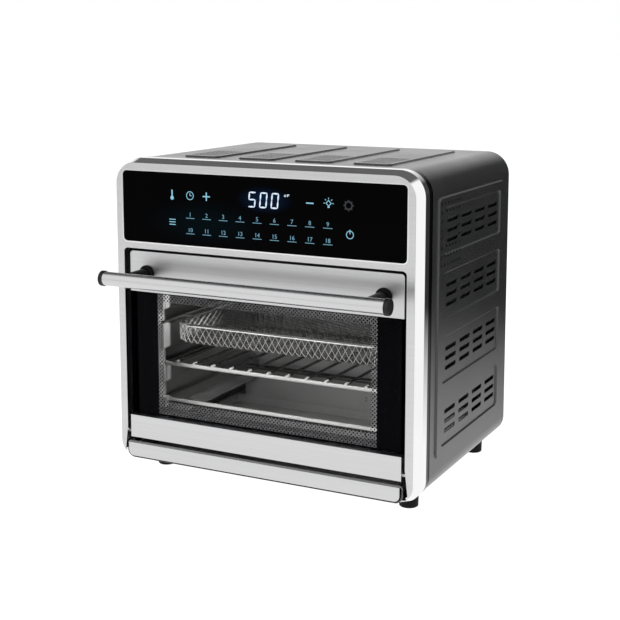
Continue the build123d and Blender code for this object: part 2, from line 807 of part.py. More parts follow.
def wire_loop(x_half, front, rear, z, corner, radius):
    """Closed rectangular loop of round wire, lying flat."""
    with BuildSketch(level(z)) as loop:
        with Locations((0, face_y + (front + rear) / 2)):
            RectangleRounded(2 * x_half, rear - front, corner)
    path = loop.sketch.face().outer_wire()
    with BuildSketch(Plane(origin=path @ 0, z_dir=path % 0)) as section:
        Circle(radius)
    sweep(section.sketch, path)


element_names = (
    "lower_element_front",
    "lower_element_rear",
    "upper_element_front",
    "upper_element_rear",
)
for name, place in zip(element_names, element_places):
    with BuildPart() as element:
        # Straight sheathed rod that runs through both side walls.
        with BuildSketch(facing_right(0)):
            with Locations(place):
                Circle(element_radius)
        extrude(amount=cavity_half + element_tail, both=True)
        # Each end has a thinner terminal pin.
        chamfer(element.faces().filter_by(Axis.X).edges(), element_radius / 4)
        with BuildSketch(facing_right(0)):
            with Locations(place):
                Circle(terminal_radius)
        extrude(amount=cavity_half + element_tail + terminal_length, both=True)
    element.part.label = name
    export_step(element.part, f"parts/{name}.step")

with BuildPart() as element_insulators:
    for side in (-1, 1):
        with BuildSketch(facing_right(side * (cavity_half + sheet))):
            with Locations(*element_places):
                Circle(insulator_radius)
                Circle(element_radius + running_gap, mode=Mode.SUBTRACT)
        extrude(amount=side * insulator_thick)
element_insulators.part.label = "element_insulators"
export_step(element_insulators.part, "parts/element_insulators.step")

lamp_back = 16.0
with BuildPart() as lamp_holder:
    with BuildSketch(facing_right(cavity_half + sheet)):
        with Locations((face_y + lamp_depth, lamp_z)):
            Circle(lamp_rim)
    extrude(amount=lamp_back)
    with BuildSketch(facing_right(cavity_half)):
        with Locations((face_y + lamp_depth, lamp_z)):
            Circle(lamp_radius - sheet)
    extrude(amount=lamp_back - sheet, mode=Mode.SUBTRACT)
lamp_holder.part.label = "lamp_holder"
export_step(lamp_holder.part, "parts/lamp_holder.step")

with BuildPart() as lamp_lens:
    with BuildSketch(facing_right(cavity_half + sheet)):
        with Locations((face_y + lamp_depth, lamp_z)):
            Circle(lamp_radius)
    extrude(amount=-4 * sheet)
    fillet(lamp_lens.faces().sort_by(Axis.X)[0].edges(), 2 * sheet)
lamp_lens.part.label = "lamp_lens"
export_step(lamp_lens.part, "parts/lamp_lens.step")

with BuildPart() as temperature_probe:
    with BuildSketch(facing_front(cavity_rear + sheet)):
        with Locations((probe_x, probe_z)):
            Circle(probe_flange)
    extrude(amount=-2 * sheet)
    with BuildSketch(facing_front(cavity_rear + sheet)):
        with Locations((probe_x, probe_z)):
            Circle(probe_radius)
    extrude(amount=probe_length)
    fillet(temperature_probe.faces().sort_by(Axis.Y)[0].edges(), probe_radius / 2)
temperature_probe.part.label = "temperature_probe"
export_step(temperature_probe.part, "parts/temperature_probe.step")

# ==== Fan and electrics above the cavity ========================================================
with BuildPart() as fan_guard:
    # Perforated disc under the ceiling.
    with BuildSketch(level(cavity_top)):
        with Locations((0, fan_y)):
            Circle(guard_radius)
            for ring_radius, hole_count in guard_rings:
                with PolarLocations(ring_radius, hole_count):
                    Circle(guard_hole_radius, mode=Mode.SUBTRACT)
    extrude(amount=-sheet)
fan_guard.part.label = "fan_guard"
export_step(fan_guard.part, "parts/fan_guard.step")

with BuildPart() as fan_chamber:
    # Upturned dish over the ceiling hole, with a hole for the shaft.
    with BuildSketch(level(liner_top)):
        with Locations((0, fan_y)):
            Circle(chamber_radius)
    extrude(amount=chamber_height)
    fillet(fan_chamber.faces().sort_by(Axis.Z)[-1].edges(), 2 * emboss)
    offset(amount=-sheet, openings=fan_chamber.faces().sort_by(Axis.Z)[0])
    with BuildSketch(level(chamber_top)):
        with Locations((0, fan_y)):
            Circle(2 * shaft_radius)
    extrude(amount=-2 * sheet, mode=Mode.SUBTRACT)
fan_chamber.part.label = "fan_chamber"
export_step(fan_chamber.part, "parts/fan_chamber.step")

motor_z = chamber_top + bracket_rise + sheet
bracket_reach = motor_radius + bracket_margin
bracket_width = 14.0
with BuildPart() as motor_bracket:
    # Bridge across the top of the dish that carries the motor.
    block(bracket_reach, motor_z - sheet, motor_z, fan_depth - bracket_width, fan_depth + bracket_width)
    for side in (-1, 1):
        side_block(
            side * (bracket_reach - sheet),
            side * bracket_reach,
            chamber_top,
            motor_z,
            fan_depth - bracket_width,
            fan_depth + bracket_width,
        )
        side_block(
            side * bracket_reach,
            side * (bracket_reach + 4 * sheet),
            chamber_top,
            chamber_top + sheet,
            fan_depth - bracket_width,
            fan_depth + bracket_width,
        )
    with BuildSketch(level(motor_z)):
        with Locations((0, fan_y)):
            Circle(2 * shaft_radius)
    extrude(amount=-2 * sheet, mode=Mode.SUBTRACT)
motor_bracket.part.label = "motor_bracket"
export_step(motor_bracket.part, "parts/motor_bracket.step")

with BuildPart() as fan_motor:
    with BuildSketch(level(motor_z)):
        with Locations((0, fan_y)):
            Circle(motor_radius)
    extrude(amount=motor_height)
    fillet(fan_motor.faces().sort_by(Axis.Z)[-1].edges(), 2 * emboss)
    with BuildSketch(level(motor_z)):
        with Locations((0, fan_y)):
            Circle(shaft_radius + running_gap)
    extrude(amount=shaft_in_motor + fit_gap, mode=Mode.SUBTRACT)
fan_motor.part.label = "fan_motor"
export_step(fan_motor.part, "parts/fan_motor.step")

fan_low = liner_top + fan_lift
hub_radius = 11.0
blade_thick = 1.6
blade_pitch_angle = 28.0
blade_length = 41.8
with BuildPart() as fan_impeller:
    # Back disc, hub and curved-back straight blades on one shaft.
    with BuildSketch(level(fan_low + blade_height)):
        with Locations((0, fan_y)):
            Circle(fan_radius)
    extrude(amount=-sheet)
    with BuildSketch(level(fan_low)):
        with Locations((0, fan_y)):
            Circle(hub_radius)
    extrude(amount=blade_height)
    with BuildSketch(level(fan_low)):
        with Locations((0, fan_y)):
            with PolarLocations(0, fan_blades):
                with Locations(Location((fan_radius / 2 + hub_radius / 3, 0), blade_pitch_angle)):
                    Rectangle(blade_length, blade_thick)
    extrude(amount=blade_height)
    with BuildSketch(level(fan_low)):
        with Locations((0, fan_y)):
            Circle(shaft_radius)
    extrude(amount=motor_z + shaft_in_motor - fan_low)
fan_impeller.part.label = "fan_impeller"
export_step(fan_impeller.part, "parts/fan_impeller.step")

power_board_front = 66.0
power_board_length = 122.0
power_board_gap = 14.0  # from the fan's dish
power_board_overhang = 10.0  # beyond the cavity's wall
power_board_inner = chamber_radius + power_board_gap
power_board_outer = cavity_half + power_board_overhang
standoff_height = 8.0
standoff_radius = 3.0
standoff_inset = 6.0
power_board_z = liner_top + standoff_height
board_mid_x = (power_board_inner + power_board_outer) / 2
board_mid_y = face_y + power_board_front + power_board_length / 2
coil_size = 34.0
coil_height = 27.0
relay_size = 16.0
capacitor_radius = 5.0
capacitor_offset = 42.0  # behind the middle of the board
with BuildPart() as power_board:
    # Board with its transformer, relay and two capacitors.
    side_block(
        power_board_inner,
        power_board_outer,
        power_board_z,
        power_board_z + board_thick,
        power_board_front,
        power_board_front + power_board_length,
    )
    with BuildSketch(level(power_board_z + board_thick)):
        with Locations((board_mid_x, board_mid_y - coil_size)):
            Rectangle(coil_size, coil_size)
    extrude(amount=coil_height)
    with BuildSketch(level(power_board_z + board_thick)):
        with Locations((board_mid_x, board_mid_y + relay_size)):
            Rectangle(relay_size, 2 * relay_size)
        for side in (-1, 1):
            with Locations((board_mid_x + side * relay_size, board_mid_y + capacitor_offset)):
                Circle(capacitor_radius)
    extrude(amount=relay_size)
power_board.part.label = "power_board"
export_step(power_board.part, "parts/power_board.step")

with BuildPart() as board_standoffs:
    with BuildSketch(level(liner_top)):
        with Locations((board_mid_x, board_mid_y)):
            with GridLocations(
                power_board_outer - power_board_inner - 4 * standoff_inset,
                power_board_length - 2 * standoff_inset,
                2,
                2,
            ):
                Circle(standoff_radius)
    extrude(amount=standoff_height)
board_standoffs.part.label = "board_standoffs"
export_step(board_standoffs.part, "parts/board_standoffs.step")

# ==== Hinges ====================================================================================
hinge_y = face_y + hinge_set
bracket_x = opening_half + bracket_side_gap
bracket_low = hinge_z - bracket_height / 2
bracket_high = hinge_z + bracket_height / 2
pin_outer = bracket_x + bracket_thick + pin_head_thick
pin_inner = door_half - pin_inside
for side, hand in ((-1, "left"), (1, "right")):
    with BuildPart() as hinge_bracket:
        # Ear that reaches forward from the front frame, behind the bezel's column.
        side_block(
            side * bracket_x,
            side * (bracket_x + bracket_thick),
            bracket_low,
            bracket_high,
            bezel_wall + fit_gap,
            frame_front,
        )
        side_block(
            side * (bracket_x + bracket_thick),
            side * (bracket_x + 3 * bracket_thick),
            bracket_low,
            bracket_high,
            frame_front - bracket_thick,
            frame_front,
        )
        with BuildSketch(facing_right(side * (bracket_x - sheet))):
            with Locations((hinge_y, hinge_z)):
                Circle(pin_radius + running_gap)
        extrude(amount=side * (bracket_thick + 2 * sheet), mode=Mode.SUBTRACT)
    hinge_bracket.part.label = f"hinge_bracket_{hand}"
    export_step(hinge_bracket.part, f"parts/hinge_bracket_{hand}.step")

    with BuildPart() as hinge_pin:
        with BuildSketch(facing_right(side * pin_inner)):
            with Locations((hinge_y, hinge_z)):
                Circle(pin_radius)
        extrude(amount=side * (pin_outer - pin_inner))
        # A head outside the bracket keeps the pin in.
        with BuildSketch(facing_right(side * (bracket_x + bracket_thick))):
            with Locations((hinge_y, hinge_z)):
                Circle(pin_radius + sheet)
        extrude(amount=side * (pin_outer - bracket_x - bracket_thick))
    hinge_pin.part.label = f"hinge_pin_{hand}"
    export_step(hinge_pin.part, f"parts/hinge_pin_{hand}.step")

    with BuildPart() as hinge_spring:
        # Close-wound torsion spring round the pin, with one leg on the inside of the rail.
        spring_end = door_half - rail_wall - fit_gap
        spring_mid = pin_radius + 2 * running_gap + spring_wire
        for turn in range(spring_turns):
            turn_x = spring_end - spring_wire - turn * spring_pitch
            with BuildSketch(facing_front(hinge_set)) as coil:
                with Locations((side * turn_x, hinge_z + spring_mid)):
                    Circle(spring_wire)
            revolve(coil.sketch, axis=Axis((0, hinge_y, hinge_z), (1, 0, 0)))
        leg_x = spring_end - 2 * spring_wire
        side_block(
            side * (leg_x - spring_wire),
            side * leg_x,
            hinge_z + spring_mid - spring_wire / 2,
            hinge_z + spring_mid + 4 * spring_wire,
            rail_wall,
            hinge_set,
        )
    hinge_spring.part.label = f"hinge_spring_{hand}"
    export_step(hinge_spring.part, f"parts/hinge_spring_{hand}.step")

# ==== Door ======================================================================================
handle_y = face_y + handle_depth
post_places = [(side * post_x, handle_z) for side in (-1, 1)]
with BuildPart() as door_upper_rail:
    # Folded stainless channel, open at the back.
    block(door_half, upper_rail_low, door_top, upper_rail_set, rail_back)
    fillet(door_upper_rail.edges().filter_by(Axis.Y).group_by(Axis.Z)[-1], rail_corner)
    fillet(door_upper_rail.faces().sort_by(Axis.Y)[0].edges(), rail_edge)
    offset(amount=-rail_wall, openings=door_upper_rail.faces().sort_by(Axis.Y)[-1])
    with BuildSketch(facing_front(upper_rail_set - sheet)):
        with Locations(*post_places):
            Circle(post_screw_radius + running_gap)
    extrude(amount=-(rail_wall + 2 * sheet), mode=Mode.SUBTRACT)
door_upper_rail.part.label = "door_upper_rail"
export_step(door_upper_rail.part, "parts/door_upper_rail.step")

with BuildPart() as door_lower_rail:
    # The same channel below the glass, with the pin holes in its ends.
    block(door_half, door_low, lower_rail_top, 0, rail_back)
    fillet(door_lower_rail.faces().sort_by(Axis.Y)[0].edges(), rail_edge)
    offset(amount=-rail_wall, openings=door_lower_rail.faces().sort_by(Axis.Y)[-1])
    with BuildSketch(facing_right(-door_half - sheet)):
        with Locations((hinge_y, hinge_z)):
            Circle(pin_radius + running_gap)
    extrude(amount=2 * (door_half + sheet), mode=Mode.SUBTRACT)
door_lower_rail.part.label = "door_lower_rail"
export_step(door_lower_rail.part, "parts/door_lower_rail.step")

glass_low = lower_rail_top + glass_joint
glass_high = upper_rail_low - glass_joint
glass_half = door_half - glass_side_inset
with BuildPart() as door_outer_glass:
    # Toughened pane between the rails; its printed border hides the frame behind it.
    block(glass_half, glass_low, glass_high, glass_set, glass_set + glass_thick)
    chamfer(door_outer_glass.faces().sort_by(Axis.Y)[0].edges(), control_gap)
door_outer_glass.part.label = "door_outer_glass"
export_step(door_outer_glass.part, "parts/door_outer_glass.step")

inner_half = door_half - frame_margin
inner_low = glass_low + frame_rise
inner_high = glass_high - frame_rise
glass_back = glass_set + glass_thick
with BuildPart() as door_frame:
    # Black inner frame: a back plate round the window, and a stile up each side.
    with BuildSketch(facing_front(rail_back)):
        with Locations((0, (door_low + door_top) / 2)):
            RectangleRounded(2 * (door_half - sheet), door_top - door_low - 2 * sheet, rail_corner)
        with Locations((0, (inner_low + inner_high) / 2)):
            RectangleRounded(2 * inner_half, inner_high - inner_low, rail_corner, mode=Mode.SUBTRACT)
    extrude(amount=rail_back - door_back)
    for side in (-1, 1):
        side_block(
            side * (glass_half - stile_width),
            side * glass_half,
            glass_low,
            glass_high,
            glass_back,
            rail_back,
        )
door_frame.part.label = "door_frame"
export_step(door_frame.part, "parts/door_frame.step")

with BuildPart() as door_inner_glass:
    block(
        inner_half + inner_glass_lap,
        glass_low + fit_gap,
        glass_high - fit_gap,
        rail_back - inner_glass_thick,
        rail_back,
    )
door_inner_glass.part.label = "door_inner_glass"
export_step(door_inner_glass.part, "parts/door_inner_glass.step")

# ==== Handle ====================================================================================
bar_half = handle_half - handle_cap_thick
with BuildPart() as handle_bar:
    with BuildSketch(facing_right(-bar_half)):
        with Locations((handle_y, handle_z)):
            Circle(handle_bar_radius)
            Circle(handle_bar_radius - handle_tube_wall, mode=Mode.SUBTRACT)
    extrude(amount=2 * bar_half)
handle_bar.part.label = "handle_bar"
export_step(handle_bar.part, "parts/handle_bar.step")

cap_plug = 8.0
for side, hand in ((-1, "left"), (1, "right")):
    with BuildPart() as handle_cap:
        with BuildSketch(facing_right(side * bar_half)):
            with Locations((handle_y, handle_z)):
                Circle(handle_cap_radius)
        extrude(amount=side * handle_cap_thick)
        fillet(handle_cap.faces().sort_by(Axis.X)[-1 if side > 0 else 0].edges(), sheet)
        with BuildSketch(facing_right(side * bar_half)):
            with Locations((handle_y, handle_z)):
                Circle(handle_bar_radius - handle_tube_wall - running_gap)
        extrude(amount=-side * cap_plug)
    handle_cap.part.label = f"handle_cap_{hand}"
    export_step(handle_cap.part, f"parts/handle_cap_{hand}.step")

    with BuildPart() as handle_post:
        # Domed foot on the rail and a round stem that is hollowed to sit on the bar.
        with BuildSketch(facing_front(upper_rail_set)):
            with Locations((side * post_x, handle_z)):
                Circle(post_base_radius)
        extrude(amount=post_base_thick)
        fillet(handle_post.faces().sort_by(Axis.Y)[0].edges(), post_base_round)
        with BuildSketch(facing_front(upper_rail_set)):
            with Locations((side * post_x, handle_z)):
                Circle(post_radius)
        extrude(amount=upper_rail_set - handle_depth)
        with BuildSketch(facing_right(side * post_x - 2 * post_base_radius)):
            with Locations((handle_y, handle_z)):
                Circle(handle_bar_radius + running_gap)
        extrude(amount=4 * post_base_radius, mode=Mode.SUBTRACT)
        with BuildSketch(facing_front(upper_rail_set)):
            with Locations((side * post_x, handle_z)):
                Circle(post_screw_radius + running_gap)
        extrude(amount=post_screw_length, mode=Mode.SUBTRACT)
    handle_post.part.label = f"handle_post_{hand}"
    export_step(handle_post.part, f"parts/handle_post_{hand}.step")

with BuildPart() as handle_screws:
    with BuildSketch(facing_front(upper_rail_set + rail_wall)):
        with Locations(*post_places):
            Circle(2 * post_screw_radius)
    extrude(amount=-post_screw_radius)
    with BuildSketch(facing_front(upper_rail_set + rail_wall)):
        with Locations(*post_places):
            Circle(post_screw_radius)
    extrude(amount=post_screw_length)
handle_screws.part.label = "handle_screws"
export_step(handle_screws.part, "parts/handle_screws.step")

# ==== Crumb tray ================================================================================
strip_half = opening_half - strip_side_inset
strip_mid = (strip_z + strip_top) / 2
backing_front = strip_thick - strip_proud
tray_rear = cavity_rear - tray_rear_gap
with BuildPart() as crumb_tray_front:
    # Stainless strip that is pulled to draw the tray out.
    with BuildSketch(facing_front(-strip_proud)) as strip_face:
        with Locations((0, strip_mid)):
            Rectangle(2 * strip_half, strip_height)
        fillet(strip_face.vertices().group_by(Axis.Y)[0], strip_corner)
        fillet(strip_face.vertices().group_by(Axis.Y)[-1], strip_top_corner)
    extrude(amount=-strip_thick)
    chamfer(crumb_tray_front.faces().sort_by(Axis.Y)[0].edges(), fit_gap)
crumb_tray_front.part.label = "crumb_tray_front"
export_step(crumb_tray_front.part, "parts/crumb_tray_front.step")

with BuildPart() as crumb_tray_pan:
    # Black pan with a backing plate that shows as a rim all round the strip.
    with BuildSketch(facing_front(backing_front)) as backing_face:
        with Locations((0, strip_mid)):
            Rectangle(2 * (strip_half + backing_rim), strip_height + 2 * backing_rim)
        fillet(backing_face.vertices().group_by(Axis.Y)[0], strip_corner + backing_rim)
        fillet(backing_face.vertices().group_by(Axis.Y)[-1], strip_top_corner + backing_rim)
    extrude(amount=backing_front + fit_gap)
    block(tray_half, tray_z, tray_top, backing_front, tray_rear)
    block(
        tray_half - sheet,
        tray_z + sheet,
        tray_top + sheet,
        fit_gap,
        tray_rear - sheet,
        mode=Mode.SUBTRACT,
    )
crumb_tray_pan.part.label = "crumb_tray_pan"
export_step(crumb_tray_pan.part, "parts/crumb_tray_pan.step")

for side, hand in ((-1, "left"), (1, "right")):
    with BuildPart() as tray_runner:
        # Rail on the floor plate, with a side wall that guides the pan.
        side_block(
            side * (tray_half - runner_width),
            side * (tray_half + fit_gap + sheet),
            base_z + 2 * sheet,
            tray_z - fit_gap,
            wrap_front + 2 * sheet,
            wrap_rear - runner_rear_gap,
        )
        side_block(
            side * (tray_half + fit_gap),
            side * (tray_half + fit_gap + sheet),
            base_z + 2 * sheet,
            tray_top,
            wrap_front + 2 * sheet,
            wrap_rear - runner_rear_gap,
        )
    tray_runner.part.label = f"tray_runner_{hand}"
    export_step(tray_runner.part, f"parts/tray_runner_{hand}.step")

# ==== Wire rack and air-fry basket ==============================================================
cross_z = rack_z + side_wire_radius + cross_wire_radius - weld_depth
rack_rear = rack_front + rack_length
with BuildPart() as wire_rack:
    # Welded rack: a bent outer wire, two braces under it and thin rods along it.
    wire_loop(side_wire_x, rack_front, rack_rear, rack_z, rack_corner, side_wire_radius)
    with BuildSketch(facing_front(rack_front - cross_wire_radius)):
        with Locations((0, cross_z)):
            with GridLocations(cross_wire_pitch, 0, cross_wire_count, 1):
                Circle(cross_wire_radius)
    extrude(amount=-(rack_length + 2 * cross_wire_radius))
    with BuildSketch(facing_right(-side_wire_x)):
        with Locations(*[(face_y + rack_front + rack_length * share, rack_z) for share in brace_shares]):
            Circle(brace_radius)
    extrude(amount=2 * side_wire_x)
wire_rack.part.label = "wire_rack"
export_step(wire_rack.part, "parts/wire_rack.step")

basket_rear = basket_front + basket_length
basket_y = face_y + (basket_front + basket_rear) / 2
basket_low = basket_z - basket_depth
with BuildPart() as fry_basket:
    # Shallow mesh tray.
    with BuildSketch(level(basket_low)):
        with Locations((0, basket_y)):
            RectangleRounded(2 * basket_half, basket_length, basket_corner)
    extrude(amount=basket_depth)
    fillet(fry_basket.faces().sort_by(Axis.Z)[0].edges(), 4 * basket_sheet)
    offset(amount=-basket_sheet, openings=fry_basket.faces().sort_by(Axis.Z)[-1])
fry_basket.part.label = "fry_basket"
export_step(fry_basket.part, "parts/fry_basket.step")

with BuildPart() as basket_frame:
    # Rim wire round the mesh, and four arms that reach the side wires on the ledges.
    rim_half = basket_half + rim_radius
    wire_loop(
        rim_half,
        basket_front - rim_radius,
        basket_rear + rim_radius,
        basket_z,
        basket_corner + rim_radius,
        rim_radius,
    )
    for side in (-1, 1):
        with BuildSketch(facing_front(basket_frame_front)):
            with Locations((side * side_wire_x, basket_z)):
                Circle(side_wire_radius)
        extrude(amount=basket_frame_front - basket_rear)
        for share in arm_shares:
            with BuildSketch(facing_right(side * rim_half)):
                with Locations((face_y + basket_front + basket_length * share, basket_z)):
                    Circle(arm_radius)
            extrude(amount=side * (side_wire_x - rim_half))
basket_frame.part.label = "basket_frame"
export_step(basket_frame.part, "parts/basket_frame.step")
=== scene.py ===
from math import cos, pi, radians

import bmesh
import bpy
from mathutils import Matrix, Vector


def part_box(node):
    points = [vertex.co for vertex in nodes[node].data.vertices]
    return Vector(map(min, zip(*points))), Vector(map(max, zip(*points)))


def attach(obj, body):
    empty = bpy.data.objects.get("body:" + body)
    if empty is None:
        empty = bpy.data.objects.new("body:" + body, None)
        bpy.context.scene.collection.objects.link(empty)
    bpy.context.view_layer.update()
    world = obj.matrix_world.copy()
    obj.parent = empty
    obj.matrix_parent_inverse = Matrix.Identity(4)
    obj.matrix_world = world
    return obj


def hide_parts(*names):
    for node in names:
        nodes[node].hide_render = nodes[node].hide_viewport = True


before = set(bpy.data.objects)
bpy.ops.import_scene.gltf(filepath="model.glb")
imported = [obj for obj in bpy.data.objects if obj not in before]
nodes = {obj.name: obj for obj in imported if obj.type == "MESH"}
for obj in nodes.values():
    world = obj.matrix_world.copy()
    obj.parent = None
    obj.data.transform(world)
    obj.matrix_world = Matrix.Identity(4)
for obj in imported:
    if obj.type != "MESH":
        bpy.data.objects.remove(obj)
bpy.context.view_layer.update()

# ==== Studio ====================================================================================
# The oven stands on a plain white sheet that runs on into a white room. Three soft lamps light it:
# a strong one ahead and to the left, a weaker one to the right and one overhead. Two small ones
# light its cavity.


class Value:
    """A shader value. Arithmetic on it adds Math nodes to the finish that it belongs to."""

    def __init__(self, finish, socket):
        self.finish = finish
        self.socket = socket

    def math(self, operation, *others):
        sockets = dict(enumerate((self, *others)))
        return self.finish.node("ShaderNodeMath", {"operation": operation}, sockets)

    def __add__(self, other):
        return self.math("ADD", other)

    __radd__ = __add__

    def __sub__(self, other):
        return self.math("SUBTRACT", other)

    def __rsub__(self, other):
        return self * -1.0 + other

    def __mul__(self, other):
        return self.math("MULTIPLY", other)

    __rmul__ = __mul__

    def __truediv__(self, other):
        return self.math("DIVIDE", other)

    def __gt__(self, other):
        return self.math("GREATER_THAN", other)

    def __lt__(self, other):
        return self.math("LESS_THAN", other)

    def __abs__(self):
        return self.math("ABSOLUTE")

    def smaller(self, other):
        return self.math("MINIMUM", other)

    def larger(self, other):
        return self.math("MAXIMUM", other)

    def limited(self):
        return self.larger(0.0).smaller(1.0)

    def part(self):
        return self.math("FRACT")


class Finish:
    """One material or the world. Constants go on its shader, and varying values are linked to it."""

    def __init__(self, name, owner=None, **constants):
        self.owner = owner or bpy.data.materials.new(name)
        self.owner.use_nodes = True
        self.tree = self.owner.node_tree
        if owner is None:
            self.shader = self.tree.nodes["Principled BSDF"]
            for socket, value in constants.items():
                self.shader.inputs[socket.replace("_", " ")].default_value = value

    def node(self, kind, settings=None, sockets=None, output=0):
        """Adds a node with its settings, then the values or links of its sockets."""
        made = self.tree.nodes.new(kind)
        for name, setting in (settings or {}).items():
            setattr(made, name, setting)
        for name, value in (sockets or {}).items():
            if isinstance(value, Value):
                self.tree.links.new(value.socket, made.inputs[name])
            else:
                made.inputs[name].default_value = value
        return Value(self, made.outputs[output])

    def place(self, scale=(1, 1, 1)):
        """Object coordinates, stretched along each axis."""
        here = self.node("ShaderNodeTexCoord", output="Object")
        return self.node("ShaderNodeVectorMath", {"operation": "MULTIPLY"}, {0: here, 1: scale})

    def axis(self, letter):
        """One object coordinate, in millimetres."""
        return self.node("ShaderNodeSeparateXYZ", None, {0: self.place()}, letter) * 1000.0

    def noise(self, cells, detail=2.0, roughness=0.5):
        """Cloudy noise from 0 to 1, with this many cells to the metre, in all or along each axis."""
        scale = cells if isinstance(cells, tuple) else (cells, cells, cells)
        sockets = {"Vector": self.place(scale), "Scale": 1.0, "Detail": detail, "Roughness": roughness}
        return self.node("ShaderNodeTexNoise", None, sockets)

    def blend(self, share, first, second):
        """Colour between two colours, each of which may itself be a blend."""
        sockets = {0: share, 6: first, 7: second}
        for socket, colour in ((6, first), (7, second)):
            if not isinstance(colour, Value):
                sockets[socket] = (*colour, 1)
        return self.node("ShaderNodeMix", {"data_type": "RGBA"}, sockets, output=2)

    def clouded(self, cells, dark, light, detail=2.0):
        """Base colour that drifts between two colours."""
        self.link("Base Color", self.blend(self.noise(cells, detail), dark, light))

    def roughened(self, cells, least, spread, detail=2.0):
        """Roughness that drifts upwards from its least value."""
        self.link("Roughness", self.noise(cells, detail) * spread + least)

    def bump(self, height, strength, distance):
        """Bump on the shader's normal."""
        sockets = {"Height": height, "Strength": strength, "Distance": distance}
        self.link("Normal", self.node("ShaderNodeBump", None, sockets))

    def link(self, socket, value):
        self.tree.links.new(value.socket, self.shader.inputs[socket])

    def cover(self, *names):
        """Puts this finish on CAD nodes."""
        for name in names:
            for slot in nodes[name].material_slots:
                slot.material = self.owner


scene = bpy.context.scene
scene.view_settings.view_transform = "Standard"

camera_place = (0.5887, -1.1531, 0.4493)
camera_turn = radians(26.947)
camera_dip = radians(8.109)
camera_sensor = 36.0
camera_lens = 71.64
camera_shift = -0.137
camera = bpy.data.objects.new("camera", bpy.data.cameras.new("camera"))
camera.location = camera_place
camera.rotation_euler = (pi / 2 - camera_dip, 0, camera_turn)
camera.data.sensor_width = camera_sensor
camera.data.lens = camera_lens
camera.data.shift_y = camera_shift
scene.collection.objects.link(camera)
scene.camera = camera

world = bpy.data.worlds.new("room")
scene.world = world
room = Finish("room", owner=world)


def ray(finish, *kinds):
    """1 for rays of these kinds, and 0 for the rest."""
    share = finish.node("ShaderNodeLightPath", output=kinds[0])
    for kind in kinds[1:]:
        share = share.larger(finish.node("ShaderNodeLightPath", output=kind))
    return share


toward = room.node("ShaderNodeTexCoord", output="Generated")
across, back, up = (room.node("ShaderNodeSeparateXYZ", None, {0: toward}, letter) for letter in "XYZ")
# Polished metal sees a white room with a dark flag behind to the right, a dark ceiling at the back and
# greyer sides, all with soft edges. Other rays see the room at a fill level.
flag_shade = 0.95
ceiling_shade = 0.88
side_shade = 0.28
room_fill = 0.42
flag_edge = 0.87
ceiling_low = 0.32
ceiling_start = -0.3
ceiling_end = 0.5
side_start = 0.6
side_end = 0.35
flag = ((across * 0.31 + back * 0.95 - flag_edge) * 12.0).limited()
ceiling_height = ((up - ceiling_low) * 6.0).limited()
ceiling_depth = ((back - ceiling_start) * 3.0).limited()
ceiling = ceiling_height * ceiling_depth * ((ceiling_end - across) * 8.0).limited()
sides = ((abs(across) - side_start) * 4.0).limited() * ((side_end - back) * 4.0).limited()
mirrored = (1.0 - flag * flag_shade) * (1.0 - ceiling * ceiling_shade) * (1.0 - sides * side_shade)
glossy = ray(room, "Is Glossy Ray")
plain = ray(room, "Is Camera Ray", "Is Transmission Ray")
level = (plain + glossy * mirrored).larger((1.0 - plain.larger(glossy)) * room_fill)
room.tree.links.new(level.socket, room.tree.nodes["Background"].inputs["Strength"])
room.tree.nodes["Background"].inputs["Color"].default_value = (1, 1, 1, 1)

floor_half = 30.0
floor_mesh = bmesh.new()
bmesh.ops.create_grid(floor_mesh, x_segments=1, y_segments=1, size=floor_half)
floor_data = bpy.data.meshes.new("floor")
floor_mesh.to_mesh(floor_data)
floor_mesh.free()
floor = bpy.data.objects.new("floor", floor_data)
scene.collection.objects.link(floor)
paper = Finish("white_sheet", Base_Color=(0.90, 0.90, 0.90, 1), Roughness=0.9, Specular_IOR_Level=0.1)
paper_x = paper.axis("X") / 1000.0
paper_y = paper.axis("Y") / 1000.0
# The flag's dark strip on the sheet begins a little way behind the oven and spreads as it goes back.
strip_along = paper_x * 0.37 + paper_y * 0.93
strip_side = paper_x * 0.93 - paper_y * 0.37
strip_dark = (
    ((strip_along - 0.2) / 0.75).limited()
    * ((strip_along * 0.25 + 0.35 - strip_side) * 8.0).limited()
    * ((strip_along * 0.5 + 0.3 + strip_side) * 8.0).limited()
)
# The sheet greys to both sides as the room does.
far_side = abs(paper_x)
paper_sides = ((far_side - 0.45) * 3.0).limited() * ((far_side * 0.4 - paper_y) * 4.0).limited()
paper_glossy = ray(paper, "Is Glossy Ray") * (1.0 - paper_sides * side_shade)
paper_plain = ray(paper, "Is Camera Ray", "Is Transmission Ray")
strip_shade = 0.97
sheet_glow = 1.36
sheet_share = 0.7
paper_strength = paper_plain * sheet_glow + paper_glossy * (1.0 - strip_dark * strip_shade)
paper_glow = paper.node("ShaderNodeEmission", None, {"Color": (1, 1, 1, 1), "Strength": paper_strength})
paper_matt = Value(paper, paper.shader.outputs[0])
paper_share = paper_plain * sheet_share + paper_glossy
paper_mix = paper.node("ShaderNodeMixShader", None, {0: paper_share, 1: paper_matt, 2: paper_glow})
paper.tree.links.new(paper_mix.socket, paper.tree.nodes["Material Output"].inputs["Surface"])
floor_data.materials.append(paper.owner)


def lamp(name, place, aim, size, power, width=None):
    """Area lamp that metal doesn't mirror, turned to face a point, and square unless a width is given."""
    data = bpy.data.lights.new(name, "AREA")
    data.shape = "RECTANGLE"
    data.size = width or size
    data.size_y = size
    data.energy = power
    made = bpy.data.objects.new(name, data)
    made.location = place
    made.rotation_euler = (Vector(aim) - Vector(place)).to_track_quat("-Z", "Y").to_euler()
    made.visible_camera = False
    made.visible_glossy = False
    scene.collection.objects.link(made)


